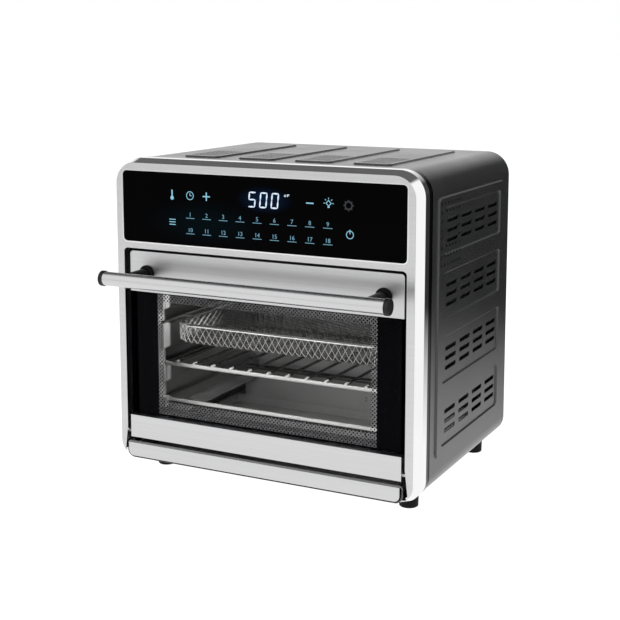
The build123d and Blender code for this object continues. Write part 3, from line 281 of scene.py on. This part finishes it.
lamp("front_lamp", (-0.8, -1.75, 1.0), (0, 0, 0.15), 1.1, 41.0)
lamp("side_lamp", (1.8, -0.3, 0.9), (0, 0, 0.15), 0.9, 6.0)
lamp("top_lamp", (-0.2, 0.5, 1.9), (0, 0, 0.2), 1.2, 16.0)
# Two small hidden fills light the cavity from just behind the door, above and below the rack.
lamp("cavity_lamp", (0, -0.062, 0.228), (0, 0.12, 0.12), 0.03, 0.6, width=0.2)
lamp("floor_lamp", (0, -0.058, 0.100), (0, 0.12, 0.06), 0.02, 0.15, width=0.2)

# ==== Outer wrap and rear panel =================================================================
# One pressed steel sheet with louvred sides and raised panels on top, closed by a flat plate
# behind. Both are powder coated in charcoal with a fine satin grain. The hem at the front is painted
# black as painted shade in the seam.
charcoal = (0.018, 0.0185, 0.019)
hem_shade_depth = 1.6
wrap_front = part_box("outer_wrap")[0].y * 1000.0
coat = Finish("charcoal_coat", Specular_IOR_Level=0.9)
mottle = coat.noise(60, 3.0)
# Painted shade: the front hem is coloured black with no sheen, for the shadow in the seam.
hem_painted_shade = coat.axis("Y") < wrap_front + hem_shade_depth
painted = coat.blend(mottle, charcoal, tuple(1.25 * c for c in charcoal))
coat.link("Base Color", coat.blend(hem_painted_shade, painted, (0, 0, 0)))
coat.link("Metallic", hem_painted_shade)
coat.roughened(25, 0.20, 0.10)
coat.bump(coat.noise(1400, 1.0), 0.12, 0.0002)
coat.cover("outer_wrap", "rear_panel")

# ==== Bezel =====================================================================================
# Stainless ring with a bevel round its front edge. The flat face is brushed from side to side, and
# the bevel and the return behind it are polished. The end of the return is painted black, as painted
# shade of the seam behind it.
steel_light = (0.78, 0.78, 0.785)
steel_dark = (0.58, 0.58, 0.585)
steel_roughness = 0.24
grain_spread = 0.16


def brushed(name, roughness=steel_roughness):
    """Stainless steel with long fine scratches along X."""
    made = Finish(name, Metallic=1.0)
    fine = made.noise((5, 1500, 1500), 3.0, 0.7)
    broad = made.noise((1.5, 220, 220), 2.0)
    grain = fine * 0.6 + broad * 0.4
    made.grain = grain
    made.tone = made.blend(grain, steel_dark, steel_light)
    made.link("Base Color", made.tone)
    made.link("Roughness", grain * grain_spread + roughness)
    made.bump(fine, 0.10, 0.0001)
    return made


bezel_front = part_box("front_bezel")[0].y
polish_depth = 0.4
shade_gap_depth = 24.0
polish_tone = (0.93, 0.93, 0.93)
polish_smoothing = 0.14
bezel_steel = brushed("bezel_steel")
bezel_depth = bezel_steel.axis("Y") - bezel_front * 1000.0
polished = bezel_depth > polish_depth
# Painted shade: past this depth the return is coloured black for the gap to the wrap.
return_painted_shade = bezel_depth > shade_gap_depth
bezel_grain = bezel_steel.grain * grain_spread * (1.0 - polished)
bezel_steel.link("Roughness", bezel_grain + steel_roughness - polished * polish_smoothing)
bright = bezel_steel.blend(polished, bezel_steel.tone, polish_tone)
bezel_steel.link("Base Color", bezel_steel.blend(return_painted_shade, bright, (0, 0, 0)))
bezel_steel.cover("front_bezel")

# ==== Front frame and inner black parts =========================================================
# Black enamelled sheet behind the bezel, with the mouth of the cavity in it, and the door's inner
# frame, enamelled the same. The control panel's carrier and the small inner parts are moulded.
enamel = Finish("black_enamel", Coat_Weight=0.3, Coat_Roughness=0.12)
enamel.clouded(90, (0.010, 0.010, 0.011), (0.018, 0.018, 0.019))
enamel.roughened(40, 0.26, 0.12)
enamel.bump(enamel.noise(500, 1.0), 0.06, 0.0002)
enamel.cover("front_frame", "door_frame")

moulding = Finish("black_moulding")
moulding.clouded(200, (0.014, 0.014, 0.015), (0.026, 0.026, 0.027))
moulding.roughened(80, 0.45, 0.15)
moulding.bump(moulding.noise(2200, 1.0), 0.2, 0.0001)
moulding.cover("panel_carrier", "board_standoffs", "cord_gland", "rear_spacers")

# ==== Control panel glass =======================================================================
# Flush black glass with touch areas. The display behind it throws a faint blue glow on the glass
# round the figures.
panel_low, panel_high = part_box("control_glass")
display_x = 8.0
display_z = 303.6
legends_x = -60.0
legends_z = 277.0
panel_black = (0.0008, 0.0008, 0.001, 1)
panel_glass = Finish(
    "panel_glass", Base_Color=panel_black, Specular_IOR_Level=0.01, Emission_Strength=1.0
)


def glow(x, z, half_width, half_height):
    """Soft oval patch of light on the glass, from 0 to 1."""
    sideways = (panel_glass.axis("X") - x) / half_width
    upward = (panel_glass.axis("Z") - z) / half_height
    near = (1.0 - (sideways * sideways + upward * upward)).larger(0.0)
    return near * near


display_glow = glow(display_x, display_z, 34.0, 15.0)
legend_glow = glow(legends_x, legends_z, 75.0, 26.0)
both_glows = display_glow + legend_glow
display_share = display_glow / (both_glows + 0.001)
glow_colour = panel_glass.blend(display_share, (0.0, 0.0030, 0.0042), (0.002, 0.009, 0.030))
panel_glass.link("Emission Color", panel_glass.blend(both_glows.limited(), (0, 0, 0), glow_colour))
panel_glass.roughened(12, 0.04, 0.05)
panel_glass.cover("control_glass")

# ==== Lip round the control glass ===============================================================
# Narrow trim of polished steel, laid on the bezel's face round the opening for the glass. It is cut
# as a flat ring with round corners.
flat_depth = 0.0001
upright = Matrix.Rotation(pi / 2, 4, "X")


def raise_up(mesh, flat, x, z, face):
    """Gives flat geometry a thickness and stands it up on the panel, at a place in millimetres."""
    thick = bmesh.ops.extrude_face_region(mesh, geom=flat, use_keep_orig=True)["geom"]
    raised = [v for v in thick if isinstance(v, bmesh.types.BMVert)]
    verts = raised + list({v for f in flat for v in f.verts})
    bmesh.ops.translate(mesh, verts=raised, vec=(0, 0, flat_depth))
    bmesh.ops.recalc_face_normals(mesh, faces=list({f for v in verts for f in v.link_faces}))
    standing = Matrix.Translation((x / 1000, face, z / 1000)) @ upright
    bmesh.ops.transform(mesh, verts=verts, matrix=standing)


def piece(name, mesh, finish, body):
    """Makes an object from a bmesh, with its place in its mesh, riding on a body."""
    data = bpy.data.meshes.new(name)
    mesh.to_mesh(data)
    mesh.free()
    data.materials.append(finish.owner)
    made = bpy.data.objects.new(name, data)
    scene.collection.objects.link(made)
    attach(made, body)
    return made


lip_width = 0.9
lip_gap = 0.4
lip_corner = 5.4
lip_half = (panel_high - panel_low) / 2 + Vector((1, 0, 1)) * (lip_gap + lip_width) / 1000
lip = bmesh.new()
lip_verts = bmesh.ops.create_grid(lip, x_segments=1, y_segments=1, size=1.0)["verts"]
bmesh.ops.scale(lip, verts=lip_verts, vec=(lip_half.x, lip_half.z, 1))
bmesh.ops.bevel(
    lip,
    geom=lip.verts[:],
    offset=lip_corner / 1000,
    segments=8,
    profile=0.5,
    affect="VERTICES",
    material=-1,
)
lip_inside = lip.faces[:]
lip_ring = bmesh.ops.inset_region(
    lip, faces=lip_inside, thickness=lip_width / 1000, use_boundary=True, use_even_offset=True
)["faces"]
bmesh.ops.delete(lip, geom=lip_inside, context="FACES_ONLY")
raise_up(lip, lip_ring, 0, (panel_low.z + panel_high.z) * 500, bezel_front)
lip_steel = Finish("lip_steel", Metallic=1.0)
lip_steel.clouded(60, (0.90, 0.90, 0.90), (0.97, 0.97, 0.97))
lip_steel.roughened(200, 0.12, 0.1)
piece("glass_lip", lip, lip_steel, "root")

# ==== Legends on the control panel ==============================================================
# Two rows of numbered programmes, icons round them and a temperature in seven-segment figures. Each
# is a thin plate on the glass, which glows as if it were lit from behind.
legend_face = panel_low.y - 0.00006


def bar(mesh, x, z, width, height, turn=0.0, dx=0.0, dz=0.0, face=legend_face):
    """Flat bar, turned about its own middle and then offset; sizes are in millimetres."""
    verts = bmesh.ops.create_grid(mesh, x_segments=1, y_segments=1, size=0.5)["verts"]
    bmesh.ops.scale(mesh, verts=verts, vec=(width / 1000, height / 1000, 1))
    bmesh.ops.rotate(mesh, verts=verts, matrix=Matrix.Rotation(turn, 3, "Z"))
    bmesh.ops.translate(mesh, verts=verts, vec=(dx / 1000, dz / 1000, 0))
    raise_up(mesh, list({f for v in verts for f in v.link_faces}), x, z, face)


def ring(mesh, x, z, outer, inner, turns=28, face=legend_face):
    """Flat ring, or a disc where the inner radius is nothing."""
    verts = bmesh.ops.create_circle(mesh, cap_ends=True, segments=turns, radius=outer / 1000)["verts"]
    disc = list({f for v in verts for f in v.link_faces})
    if inner:
        rim = bmesh.ops.inset_region(
            mesh, faces=disc, thickness=(outer - inner) / 1000, use_boundary=True, use_even_offset=True
        )
        bmesh.ops.delete(mesh, geom=disc, context="FACES_ONLY")
        disc = rim["faces"]
    raise_up(mesh, disc, x, z, face)


def numeral(mesh, text, x, z, height, face=legend_face):
    """Plain number, centred on a place."""
    curve = bpy.data.curves.new("figure", "FONT")
    curve.body = text
    curve.size = height / 1000 / 0.70
    curve.align_x = "CENTER"
    curve.align_y = "CENTER"
    curve.extrude = flat_depth / 2
    curve.resolution_u = 3
    shown = bpy.data.objects.new("figure", curve)
    flat = bpy.data.meshes.new_from_object(shown)
    flat.transform(Matrix.Translation((x / 1000, face - flat_depth / 2, z / 1000)) @ upright)
    mesh.from_mesh(flat)
    bpy.data.objects.remove(shown)
    bpy.data.curves.remove(curve)
    bpy.data.meshes.remove(flat)


def lit(name, colour, strength=1.0):
    """Dark printed legend that glows."""
    made = Finish(name, Base_Color=(0.01, 0.01, 0.012, 1), Roughness=0.3, Emission_Strength=strength)
    flicker = made.noise(150, 1.0)
    made.link("Emission Color", made.blend(flicker, tuple(0.82 * c for c in colour), colour))
    return made


columns = 9
column_pitch = 19.3
row_heights = (284.2, 268.4)
programme_height = 4.2
underline_drop = 3.6
underline_length = 10.0
underline_width = 0.6
programmes = bmesh.new()
for row, row_z in enumerate(row_heights):
    for column in range(columns):
        column_x = (column - (columns - 1) / 2) * column_pitch
        numeral(programmes, str(row * columns + column + 1), column_x, row_z, programme_height)
        bar(programmes, column_x, row_z - underline_drop, underline_length, underline_width)
piece("panel_programmes", programmes, lit("programme_light", (0.14, 0.36, 0.48)), "root")

# The icons stand level with the display, and two of them in a lower row.
icon_z = display_z
lower_icon_z = 275.8
thermometer_x = -98.5
clock_x = -77.2
plus_x = -57.9
minus_x = 58.0
bulb_x = 78.0
gear_x = 99.0
power_x = 100.5
legends = bmesh.new()
# Thermometer and clock.
bar(legends, thermometer_x, icon_z + 1.5, 1.4, 7.0)
ring(legends, thermometer_x, icon_z - 3.2, 2.0, 0)
ring(legends, clock_x, icon_z, 4.4, 3.7)
bar(legends, clock_x, icon_z, 0.7, 2.8, dz=1.2)
bar(legends, clock_x, icon_z, 2.2, 0.7, dx=0.9)
# Plus and minus.
bar(legends, plus_x, icon_z, 8.4, 1.2)
bar(legends, plus_x, icon_z, 1.2, 8.4)
bar(legends, minus_x, icon_z, 8.0, 1.2)
# Bulb with its rays, list and power.
ring(legends, bulb_x, icon_z + 1.0, 3.2, 2.5, turns=4)
bar(legends, bulb_x, icon_z - 2.6, 2.2, 1.4)
for shine in (-2, -1, 0, 1, 2):
    lean = -shine * pi / 4
    out = Matrix.Rotation(lean, 2) @ Vector((0, 4.6))
    bar(legends, bulb_x, icon_z + 1.0, 0.6, 1.6, turn=lean, dx=out.x, dz=out.y)
for line in (-1, 0, 1):
    bar(legends, thermometer_x, lower_icon_z + line * 2.6, 7.4, 0.8)
ring(legends, power_x, lower_icon_z, 4.0, 3.3)
bar(legends, power_x, lower_icon_z, 0.8, 4.2, dz=2.8)
piece("panel_legends", legends, lit("cyan_light", (0.26, 0.62, 0.80)), "root")

# Figures of the display, with a small degree sign and letter after them.
figure_height = 15.7
figure_width = 8.4
stroke = 1.5
stroke_gap = 0.2
slant = 0.10
segments = {
    "a": (0, 1, 0),
    "b": (1, 0.5, 1),
    "c": (1, -0.5, 1),
    "d": (0, -1, 0),
    "e": (-1, -0.5, 1),
    "f": (-1, 0.5, 1),
    "g": (0, 0, 0),
}
shapes = {"5": "afgcd", "0": "abcdef"}
shown_figures = (("5", -5.5), ("0", 7.2), ("0", 19.9))
degree_x = 31.2
letter_x = 34.7
letter_rise = 5.8


def stick(mesh, x, z, length, turn):
    """One lit stroke with pointed ends."""
    corner_radius = stroke / 2000 / cos(pi / 6)
    verts = bmesh.ops.create_circle(mesh, cap_ends=True, segments=6, radius=corner_radius)["verts"]
    stretch = (length - stroke) / 2000
    for end in (-1, 1):
        half = [v for v in verts if v.co.x * end > 0]
        bmesh.ops.translate(mesh, verts=half, vec=(end * stretch, 0, 0))
    bmesh.ops.rotate(mesh, verts=verts, matrix=Matrix.Rotation(turn, 3, "Z"))
    raise_up(mesh, list({f for v in verts for f in v.link_faces}), x, z, legend_face)


def figure(mesh, shape, x):
    """Seven-segment figure that leans a little to the right."""
    half_width = (figure_width - stroke) / 2
    half_height = (figure_height - stroke) / 2
    for segment in shapes[shape]:
        side, rise, standing = segments[segment]
        length = (half_height if standing else 2 * half_width) - stroke_gap
        turn = pi / 2 - slant if standing else 0.0
        lean = rise * half_height * slant
        stick(mesh, x + side * half_width + lean, display_z + rise * half_height, length, turn)


figures = bmesh.new()
for shape, figure_x in shown_figures:
    figure(figures, shape, figure_x)
ring(figures, degree_x, display_z + 5.6, 1.1, 0.6, turns=16)
bar(figures, letter_x, display_z + letter_rise, 2.4, 0.6, dz=1.0)
bar(figures, letter_x, display_z + letter_rise, 0.6, 2.4, dx=-1.0)
bar(figures, letter_x, display_z + letter_rise, 1.8, 0.5, dx=-0.2)
piece("panel_figures", figures, lit("figure_light", (0.72, 0.85, 1.0), 1.1), "root")

# The gear stays dark until it is touched.
unlit = bmesh.new()
ring(unlit, gear_x, icon_z, 4.2, 3.0, turns=18)
for tooth in range(8):
    lean = tooth * pi / 4
    out = Matrix.Rotation(lean, 2) @ Vector((4.4, 0))
    bar(unlit, gear_x, icon_z, 1.6, 1.4, turn=lean, dx=out.x, dz=out.y)
piece("panel_unlit_legends", unlit, lit("unlit_light", (0.008, 0.011, 0.014)), "root")

# ==== Door ======================================================================================
# Two folded stainless rails with a toughened pane between them. The pane is printed black behind,
# with a border of dots round the clear window, and rack levels are numbered at its right edge.
door_steel = brushed("door_steel")
door_steel.cover("door_upper_rail", "door_lower_rail")

pane_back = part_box("door_outer_glass")[1].y
window_half = 125.4
window_low = 68.5
window_high = 197.0
side_border = 6.6
top_border = 8.2
low_border = 14.4
dot_pitch = 4.1
dot_radius = 0.92
glass_alpha = 0.07
haze_alpha = 0.12
pane = Finish("door_glass", Specular_IOR_Level=0.02)
pane_x = pane.axis("X")
pane_z = pane.axis("Z")
behind = pane.axis("Y") > pane_back * 1000.0 - 1.0
outside = (abs(pane_x) > window_half).larger((pane_z < window_low).larger(pane_z > window_high))
bordering = (abs(pane_x) > window_half - side_border).larger(
    (pane_z < window_low + low_border).larger(pane_z > window_high - top_border)
)


def dots(shift):
    """One square grid of round dots. A hundred whole pitches keep the coordinates above zero."""
    u = (pane_x / dot_pitch + 100.0 + shift).part() - 0.5
    v = (pane_z / dot_pitch + 100.0 + shift).part() - 0.5
    return (u * u + v * v) < (dot_radius / dot_pitch) ** 2


dotted = dots(0.0).larger(dots(0.5))
printed = outside.larger(bordering * dotted) * behind
hazed = bordering * (1.0 - outside) * (1.0 - dotted) * behind
pane.link("Alpha", (printed * (1.0 - glass_alpha) + glass_alpha).larger(hazed * haze_alpha))
pane.link("Base Color", pane.blend(hazed, (0.0015, 0.0015, 0.002), (0.55, 0.55, 0.56)))
pane.roughened(15, 0.02, 0.04)
pane.cover("door_outer_glass")

clear = Finish("inner_pane", Base_Color=(0.02, 0.02, 0.02, 1), Alpha=0.05)
clear.roughened(15, 0.03, 0.04)
clear.cover("door_inner_glass")

mark_face = pane_back + 0.0001
mark_x = 113.8
mark_height = 4.6
rack_levels = (("1", 79.0), ("2", 115.0), ("3", 164.0))
level_marks = bmesh.new()
for level_number, level_z in rack_levels:
    numeral(level_marks, level_number, mark_x, level_z, mark_height, face=mark_face)
ink = Finish("black_ink", Roughness=0.5)
ink.clouded(300, (0.004, 0.004, 0.004), (0.008, 0.008, 0.008), detail=1.0)
piece("level_marks", level_marks, ink, "door")

# ==== Handle ====================================================================================
# Brushed stainless tube with glossy black caps plugged into its ends. It sits on two black moulded
# posts, which are screwed to the door's upper rail from behind.
handle_steel = brushed("handle_steel", roughness=0.18)
handle_steel.cover("handle_bar")
gloss = Finish("gloss_black", Specular_IOR_Level=0.22)
gloss.clouded(120, (0.006, 0.006, 0.007), (0.012, 0.012, 0.013))
gloss.roughened(60, 0.16, 0.08)
gloss.cover("handle_cap_left", "handle_cap_right")
post_black = Finish("post_black", Specular_IOR_Level=0.03)
post_black.clouded(90, (0.003, 0.003, 0.003), (0.007, 0.007, 0.007))
post_black.roughened(60, 0.22, 0.08)
post_black.cover("handle_post_left", "handle_post_right")

# ==== Cavity ====================================================================================
# Folded steel box with a dark grey non-stick coat, as the guard under the fan and the crumb tray
# have. The pressed side guides are bare steel, with painted light on their front ends where light
# from the door falls. The brackets, the runners and the other sheets round the box are galvanised.
cavity_grey = (0.15, 0.15, 0.148)
lining = Finish("cavity_coat")
streaks = lining.noise(30, 3.0)
lining.link("Base Color", lining.blend(streaks, tuple(0.8 * c for c in cavity_grey), cavity_grey))
lining.roughened(50, 0.26, 0.15)
lining.bump(lining.noise(45, 3.0), 0.25, 0.002)
lining.cover("cavity_liner", "fan_guard", "crumb_tray_pan")

guide_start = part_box("side_guide_left")[0].y * 1000.0
guide_lit_depth = 9.0
guide_fade = 4.0
guide_steel = Finish("guide_steel")
guide_tone = guide_steel.noise(35, 3.0)
guide_depth = guide_steel.axis("Y") - guide_start
# Painted light: the front ends of the guides are coloured pale and less metallic, as lit by the door.
guide_painted_light = ((guide_lit_depth + guide_fade - guide_depth) / guide_fade).limited()
guide_worn = guide_steel.blend(guide_tone, (0.36, 0.36, 0.36), (0.47, 0.47, 0.46))
guide_steel.link("Base Color", guide_steel.blend(guide_painted_light, guide_worn, (0.86, 0.86, 0.85)))
guide_steel.link("Metallic", 1.0 - guide_painted_light * 0.7)
guide_steel.link("Roughness", guide_tone * 0.12 + 0.24)
guide_steel.bump(guide_steel.noise(60), 0.15, 0.001)
guide_steel.cover("side_guide_left", "side_guide_right")

zinc = Finish("zinc_sheet", Metallic=1.0)
spangle = zinc.node("ShaderNodeTexVoronoi", None, {"Vector": zinc.place((160, 160, 160)), "Scale": 1.0})
zinc.link("Base Color", zinc.blend(spangle, (0.52, 0.53, 0.54), (0.64, 0.65, 0.66)))
zinc.link("Roughness", spangle * 0.15 + 0.34)
zinc.cover("bottom_plate", "liner_brackets", "lamp_holder", "fan_chamber", "motor_bracket")
zinc.cover("hinge_bracket_left", "hinge_bracket_right", "tray_runner_left", "tray_runner_right")

# Ceramic rings insulate the elements where they leave the box.
ceramic = Finish("ceramic")
ceramic.clouded(300, (0.70, 0.67, 0.60), (0.82, 0.80, 0.74))
ceramic.roughened(100, 0.6, 0.1)
ceramic.cover("element_insulators")

# The lamp's cover is pressed glass with a slightly wavy face.
lens = Finish("lamp_glass", Base_Color=(0.85, 0.84, 0.80, 1), Alpha=0.6)
lens.roughened(400, 0.15, 0.1, detail=1.0)
lens.bump(lens.noise(250, 1.0), 0.4, 0.0005)
lens.cover("lamp_lens")

# ==== Heating elements, rack and basket frame ===================================================
# Drawn steel sheaths for the elements, darkened by heat, with a painted highlight along the top of
# the lower front one. The rack and the basket's frame are welded from plated wire, and the rack is
# painted dark behind its front wire, as shade where the light from the door falls off.
rod_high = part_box("lower_element_front")[1] * 1000.0
rod_highlight_band = 2.2
rod_fade = 1.2
sheath = Finish("element_sheath")
scale_tone = sheath.noise(40, 3.0)
# Painted highlight: a pale, less metallic band along the top of the lower front rod.
front_rod = ((rod_high.y + 2.0 - sheath.axis("Y")) / 2.0).limited() * (sheath.axis("Z") < 100.0)
rod_top = ((sheath.axis("Z") - rod_high.z + rod_highlight_band + rod_fade) / rod_fade).limited()
rod_painted_highlight = front_rod * rod_top
scaled = sheath.blend(scale_tone, (0.16, 0.16, 0.155), (0.26, 0.255, 0.25))
sheath.link("Base Color", sheath.blend(rod_painted_highlight, scaled, (0.88, 0.88, 0.87)))
sheath.link("Metallic", 1.0 - rod_painted_highlight * 0.6)
sheath.link("Roughness", scale_tone * 0.08 + 0.12)
sheath.cover("lower_element_front", "lower_element_rear", "upper_element_front", "upper_element_rear")


def plating(finish):
    """Bright plating: links its roughness and gives its colour."""
    tone = finish.noise(70)
    finish.link("Roughness", tone * 0.10 + 0.13)
    return finish.blend(tone, (0.80, 0.80, 0.79), (0.90, 0.90, 0.89))


plated = Finish("plated_wire", Metallic=1.0)
plated.link("Base Color", plating(plated))
plated.cover("basket_frame", "temperature_probe")

rack_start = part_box("wire_rack")[0].y * 1000.0
rack_lit_length = 5.0
rack_fade = 2.0
rack_wire = Finish("rack_wire")
# Painted shade: behind its first few millimetres the rack is coloured dark, as the light falls off.
rack_painted_shade = ((rack_wire.axis("Y") - rack_start - rack_lit_length) / rack_fade).limited()
rack_wire.link("Base Color", rack_wire.blend(rack_painted_shade, plating(rack_wire), (0.17, 0.165, 0.16)))
rack_wire.link("Metallic", rack_painted_shade * 0.6 + 0.4)
rack_wire.cover("wire_rack")

# ==== Basket mesh ===============================================================================
# Expanded steel sheet, drawn into a shallow tray: the diamonds run up the walls and close up round
# the corners. Its edge is welded to the outside of the frame's wire. Its floor and its back are
# painted dark, as shade inside the basket away from the door. Sizes are in millimetres until the
# last step.
basket_low, basket_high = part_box("fry_basket")
cell_width = 7.5
cell_length = 13.0
strand = 1.0
rim_wire = 3.4
basket_corner = 24.0
basket_bend = 4.0
basket_middle = (basket_low + basket_high) / 2
basket_place = (basket_middle.x, basket_middle.y, basket_low.z + strand / 2000.0)
basket_half_x = (basket_high.x - basket_low.x) * 500.0 + rim_wire + strand / 2
basket_half_y = (basket_high.y - basket_low.y) * 500.0 + rim_wire + strand / 2
basket_wall = (basket_high.z - basket_low.z) * 1000.0
core_x = basket_half_x - basket_corner
core_y = basket_half_y - basket_corner
flat_reach = basket_corner - basket_bend
arc_length = basket_bend * pi / 2
wall_reach = flat_reach + arc_length + basket_wall - basket_bend - strand
sheet_x = core_x + wall_reach
sheet_y = core_y + wall_reach
# The cells are stretched a little, so that whole rows end at the rim on all four sides.
cell_width = 2 * sheet_x / round(2 * sheet_x / cell_width)
cell_length = 2 * sheet_y / round(2 * sheet_y / cell_length)
diagonal_cells = 60
diagonal = 2**0.5
expanded = bmesh.new()
bmesh.ops.create_grid(
    expanded, x_segments=diagonal_cells, y_segments=diagonal_cells, size=diagonal_cells / 2
)
bmesh.ops.rotate(expanded, verts=expanded.verts, matrix=Matrix.Rotation(pi / 4, 3, "Z"))
bmesh.ops.scale(expanded, verts=expanded.verts, vec=(cell_width / diagonal, cell_length / diagonal, 1))


def past_core(point):
    """Nearest point of the middle part of the flat sheet, and the way from there to this point."""
    core = Vector((max(-core_x, min(core_x, point.x)), max(-core_y, min(core_y, point.y)), 0))
    return core, point - core


# The sheet is cut to its four straight edges and its round corners while it is flat.
for side in (-1, 1):
    for edge in (Vector((side * sheet_x, 0, 0)), Vector((0, side * sheet_y, 0))):
        every = expanded.verts[:] + expanded.edges[:] + expanded.faces[:]
        bmesh.ops.bisect_plane(
            expanded, geom=every, dist=0.01, plane_co=edge, plane_no=edge, clear_outer=True
        )
beyond = [f for f in expanded.faces if past_core(f.calc_center_median())[1].length > wall_reach - strand]
bmesh.ops.delete(expanded, geom=beyond, context="FACES")
# Each corner of a cell is carried over the bend and up the wall.
for vert in expanded.verts:
    core, reach = past_core(vert.co)
    length = min(reach.length, wall_reach)
    out = min(length, flat_reach)
    rise = 0.0
    if length > flat_reach:
        turn = min((length - flat_reach) / basket_bend, pi / 2)
        bent = Matrix.Rotation(turn, 3, "Y") @ Vector((0, 0, -basket_bend))
        out = flat_reach - bent.x
        rise = basket_bend + bent.z + max(0.0, length - flat_reach - arc_length)
    side = reach.normalized() * out if reach.length else reach
    vert.co = core + side + Vector((0, 0, rise))
expanded.normal_update()
bmesh.ops.wireframe(expanded, faces=expanded.faces, thickness=strand, use_replace=True, use_boundary=True)
bmesh.ops.remove_doubles(expanded, verts=expanded.verts, dist=0.001)
bmesh.ops.recalc_face_normals(expanded, faces=expanded.faces)
bmesh.ops.scale(expanded, verts=expanded.verts, vec=(0.001, 0.001, 0.001))
bmesh.ops.translate(expanded, verts=expanded.verts, vec=basket_place)
floor_shade_rise = 0.7
unshaded_length = 55.0
strand_shade_colour = (0.035, 0.034, 0.033)
strand_bright = (0.92, 0.92, 0.91)
strand_steel = Finish("strand_steel", Metallic=0.35)
# Painted shade: the strands on the floor and towards the back are coloured near black.
on_wall = ((strand_steel.axis("Z") - basket_low.z * 1000.0 - floor_shade_rise) / 2.0).limited()
basket_back_shade = ((strand_steel.axis("Y") - basket_low.y * 1000.0 - unshaded_length) / 50.0).limited()
strand_unshaded = on_wall * (1.0 - basket_back_shade)
strand_steel.link("Base Color", strand_steel.blend(strand_unshaded, strand_shade_colour, strand_bright))
strand_steel.roughened(70, 0.3, 0.1)
basket_mesh = piece("basket_mesh", expanded, strand_steel, "basket")
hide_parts("fry_basket")

# ==== Crumb tray ================================================================================
# The pull strip is brushed stainless, spot welded to the coated pan. A black line of painted shade
# runs round its foot and ends.
strip_low, strip_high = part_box("crumb_tray_front")
strip_corner = 7.0
shade_line_width = 1.1
strip_steel = brushed("strip_steel")
past_side = (abs(strip_steel.axis("X")) - (strip_high.x * 1000.0 - strip_corner)).larger(0.0)
past_foot = (strip_low.z * 1000.0 + strip_corner - strip_steel.axis("Z")).larger(0.0)
# Painted shade: a black line along the strip's foot and ends, for the shadow gap round it.
strip_painted_shade = past_side * past_side + past_foot * past_foot > (strip_corner - shade_line_width) ** 2
strip_steel.link("Base Color", strip_steel.blend(strip_painted_shade, strip_steel.tone, (0, 0, 0)))
strip_steel.cover("crumb_tray_front")

# ==== Baffle ====================================================================================
# Thin sheet, bent to a channel and coated as the cavity is. It closes the space behind the crumb
# tray, and its flanges are spot welded under the cavity's floor and to the bottom plate.
baffle_half = 0.143
baffle_gap = 0.009
baffle_flange = 0.008
baffle_sheet = 0.0008
baffle_clearance = 0.0006
baffle_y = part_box("crumb_tray_pan")[1].y + baffle_gap
baffle_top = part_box("cavity_liner")[0].z - baffle_sheet
baffle_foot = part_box("bottom_plate")[1].z + baffle_clearance
baffle = bmesh.new()
flange_y = baffle_y + baffle_flange
edge_ends = [baffle.verts.new((side * baffle_half, flange_y, baffle_top)) for side in (-1, 1)]
free_edge = baffle.edges.new(edge_ends)
for step in ((0, -baffle_flange, 0), (0, 0, baffle_foot - baffle_top), (0, baffle_flange, 0)):
    grown = bmesh.ops.extrude_edge_only(baffle, edges=[free_edge])["geom"]
    bmesh.ops.translate(baffle, verts=[v for v in grown if isinstance(v, bmesh.types.BMVert)], vec=step)
    free_edge = next(e for e in grown if isinstance(e, bmesh.types.BMEdge))
bmesh.ops.recalc_face_normals(baffle, faces=baffle.faces)
bmesh.ops.solidify(baffle, geom=baffle.faces[:], thickness=baffle_sheet)
bmesh.ops.recalc_face_normals(baffle, faces=baffle.faces)
piece("tray_baffle", baffle, lining, "root")

# ==== Fan and electrics =========================================================================
# Pressed aluminium impeller on the shaft of a motor with laminated steel sheets, and two printed
# boards: one on standoffs above the cavity and one behind the control glass. Screws, hinge pins and
# springs are plated steel.
vane = Finish("fan_aluminium", Metallic=1.0)
vane_tone = vane.noise(120)
vane.link("Base Color", vane.blend(vane_tone, (0.66, 0.66, 0.67), (0.76, 0.76, 0.77)))
vane.link("Roughness", vane_tone * 0.15 + 0.3)
vane.cover("fan_impeller")

laminate = Finish("motor_steel", Metallic=1.0)
sheets = laminate.noise((4, 4, 2000), 1.0)
laminate.link("Base Color", laminate.blend(sheets, (0.36, 0.36, 0.37), (0.52, 0.52, 0.53)))
laminate.link("Roughness", sheets * 0.2 + 0.35)
laminate.cover("fan_motor")

board = Finish("circuit_board")
tracks = board.noise((450, 60, 60), 1.0) > 0.55
board.link("Base Color", board.blend(tracks, (0.012, 0.085, 0.035), (0.025, 0.13, 0.055)))
board.link("Roughness", tracks * 0.1 + 0.35)
board.cover("touch_board", "power_board")

fixing = Finish("plated_screws", Metallic=1.0)
fixing_tone = fixing.noise(500, 1.0)
fixing.link("Base Color", fixing.blend(fixing_tone, (0.58, 0.58, 0.58), (0.72, 0.72, 0.72)))
fixing.link("Roughness", fixing_tone * 0.15 + 0.25)
fixing.cover("rear_screws", "handle_screws")
fixing.cover("hinge_pin_left", "hinge_pin_right", "hinge_spring_left", "hinge_spring_right")

# ==== Feet ======================================================================================
# Four moulded rubber feet with a fine matt grain, tapered towards the table. They are fixed under
# the corners of the bottom plate.
rubber = Finish("foot_rubber", Specular_IOR_Level=0.15)
rubber.clouded(300, (0.005, 0.005, 0.005), (0.011, 0.011, 0.011))
rubber.roughened(150, 0.55, 0.15)
rubber.bump(rubber.noise(1500, 1.0), 0.2, 0.0001)
rubber.cover("feet")
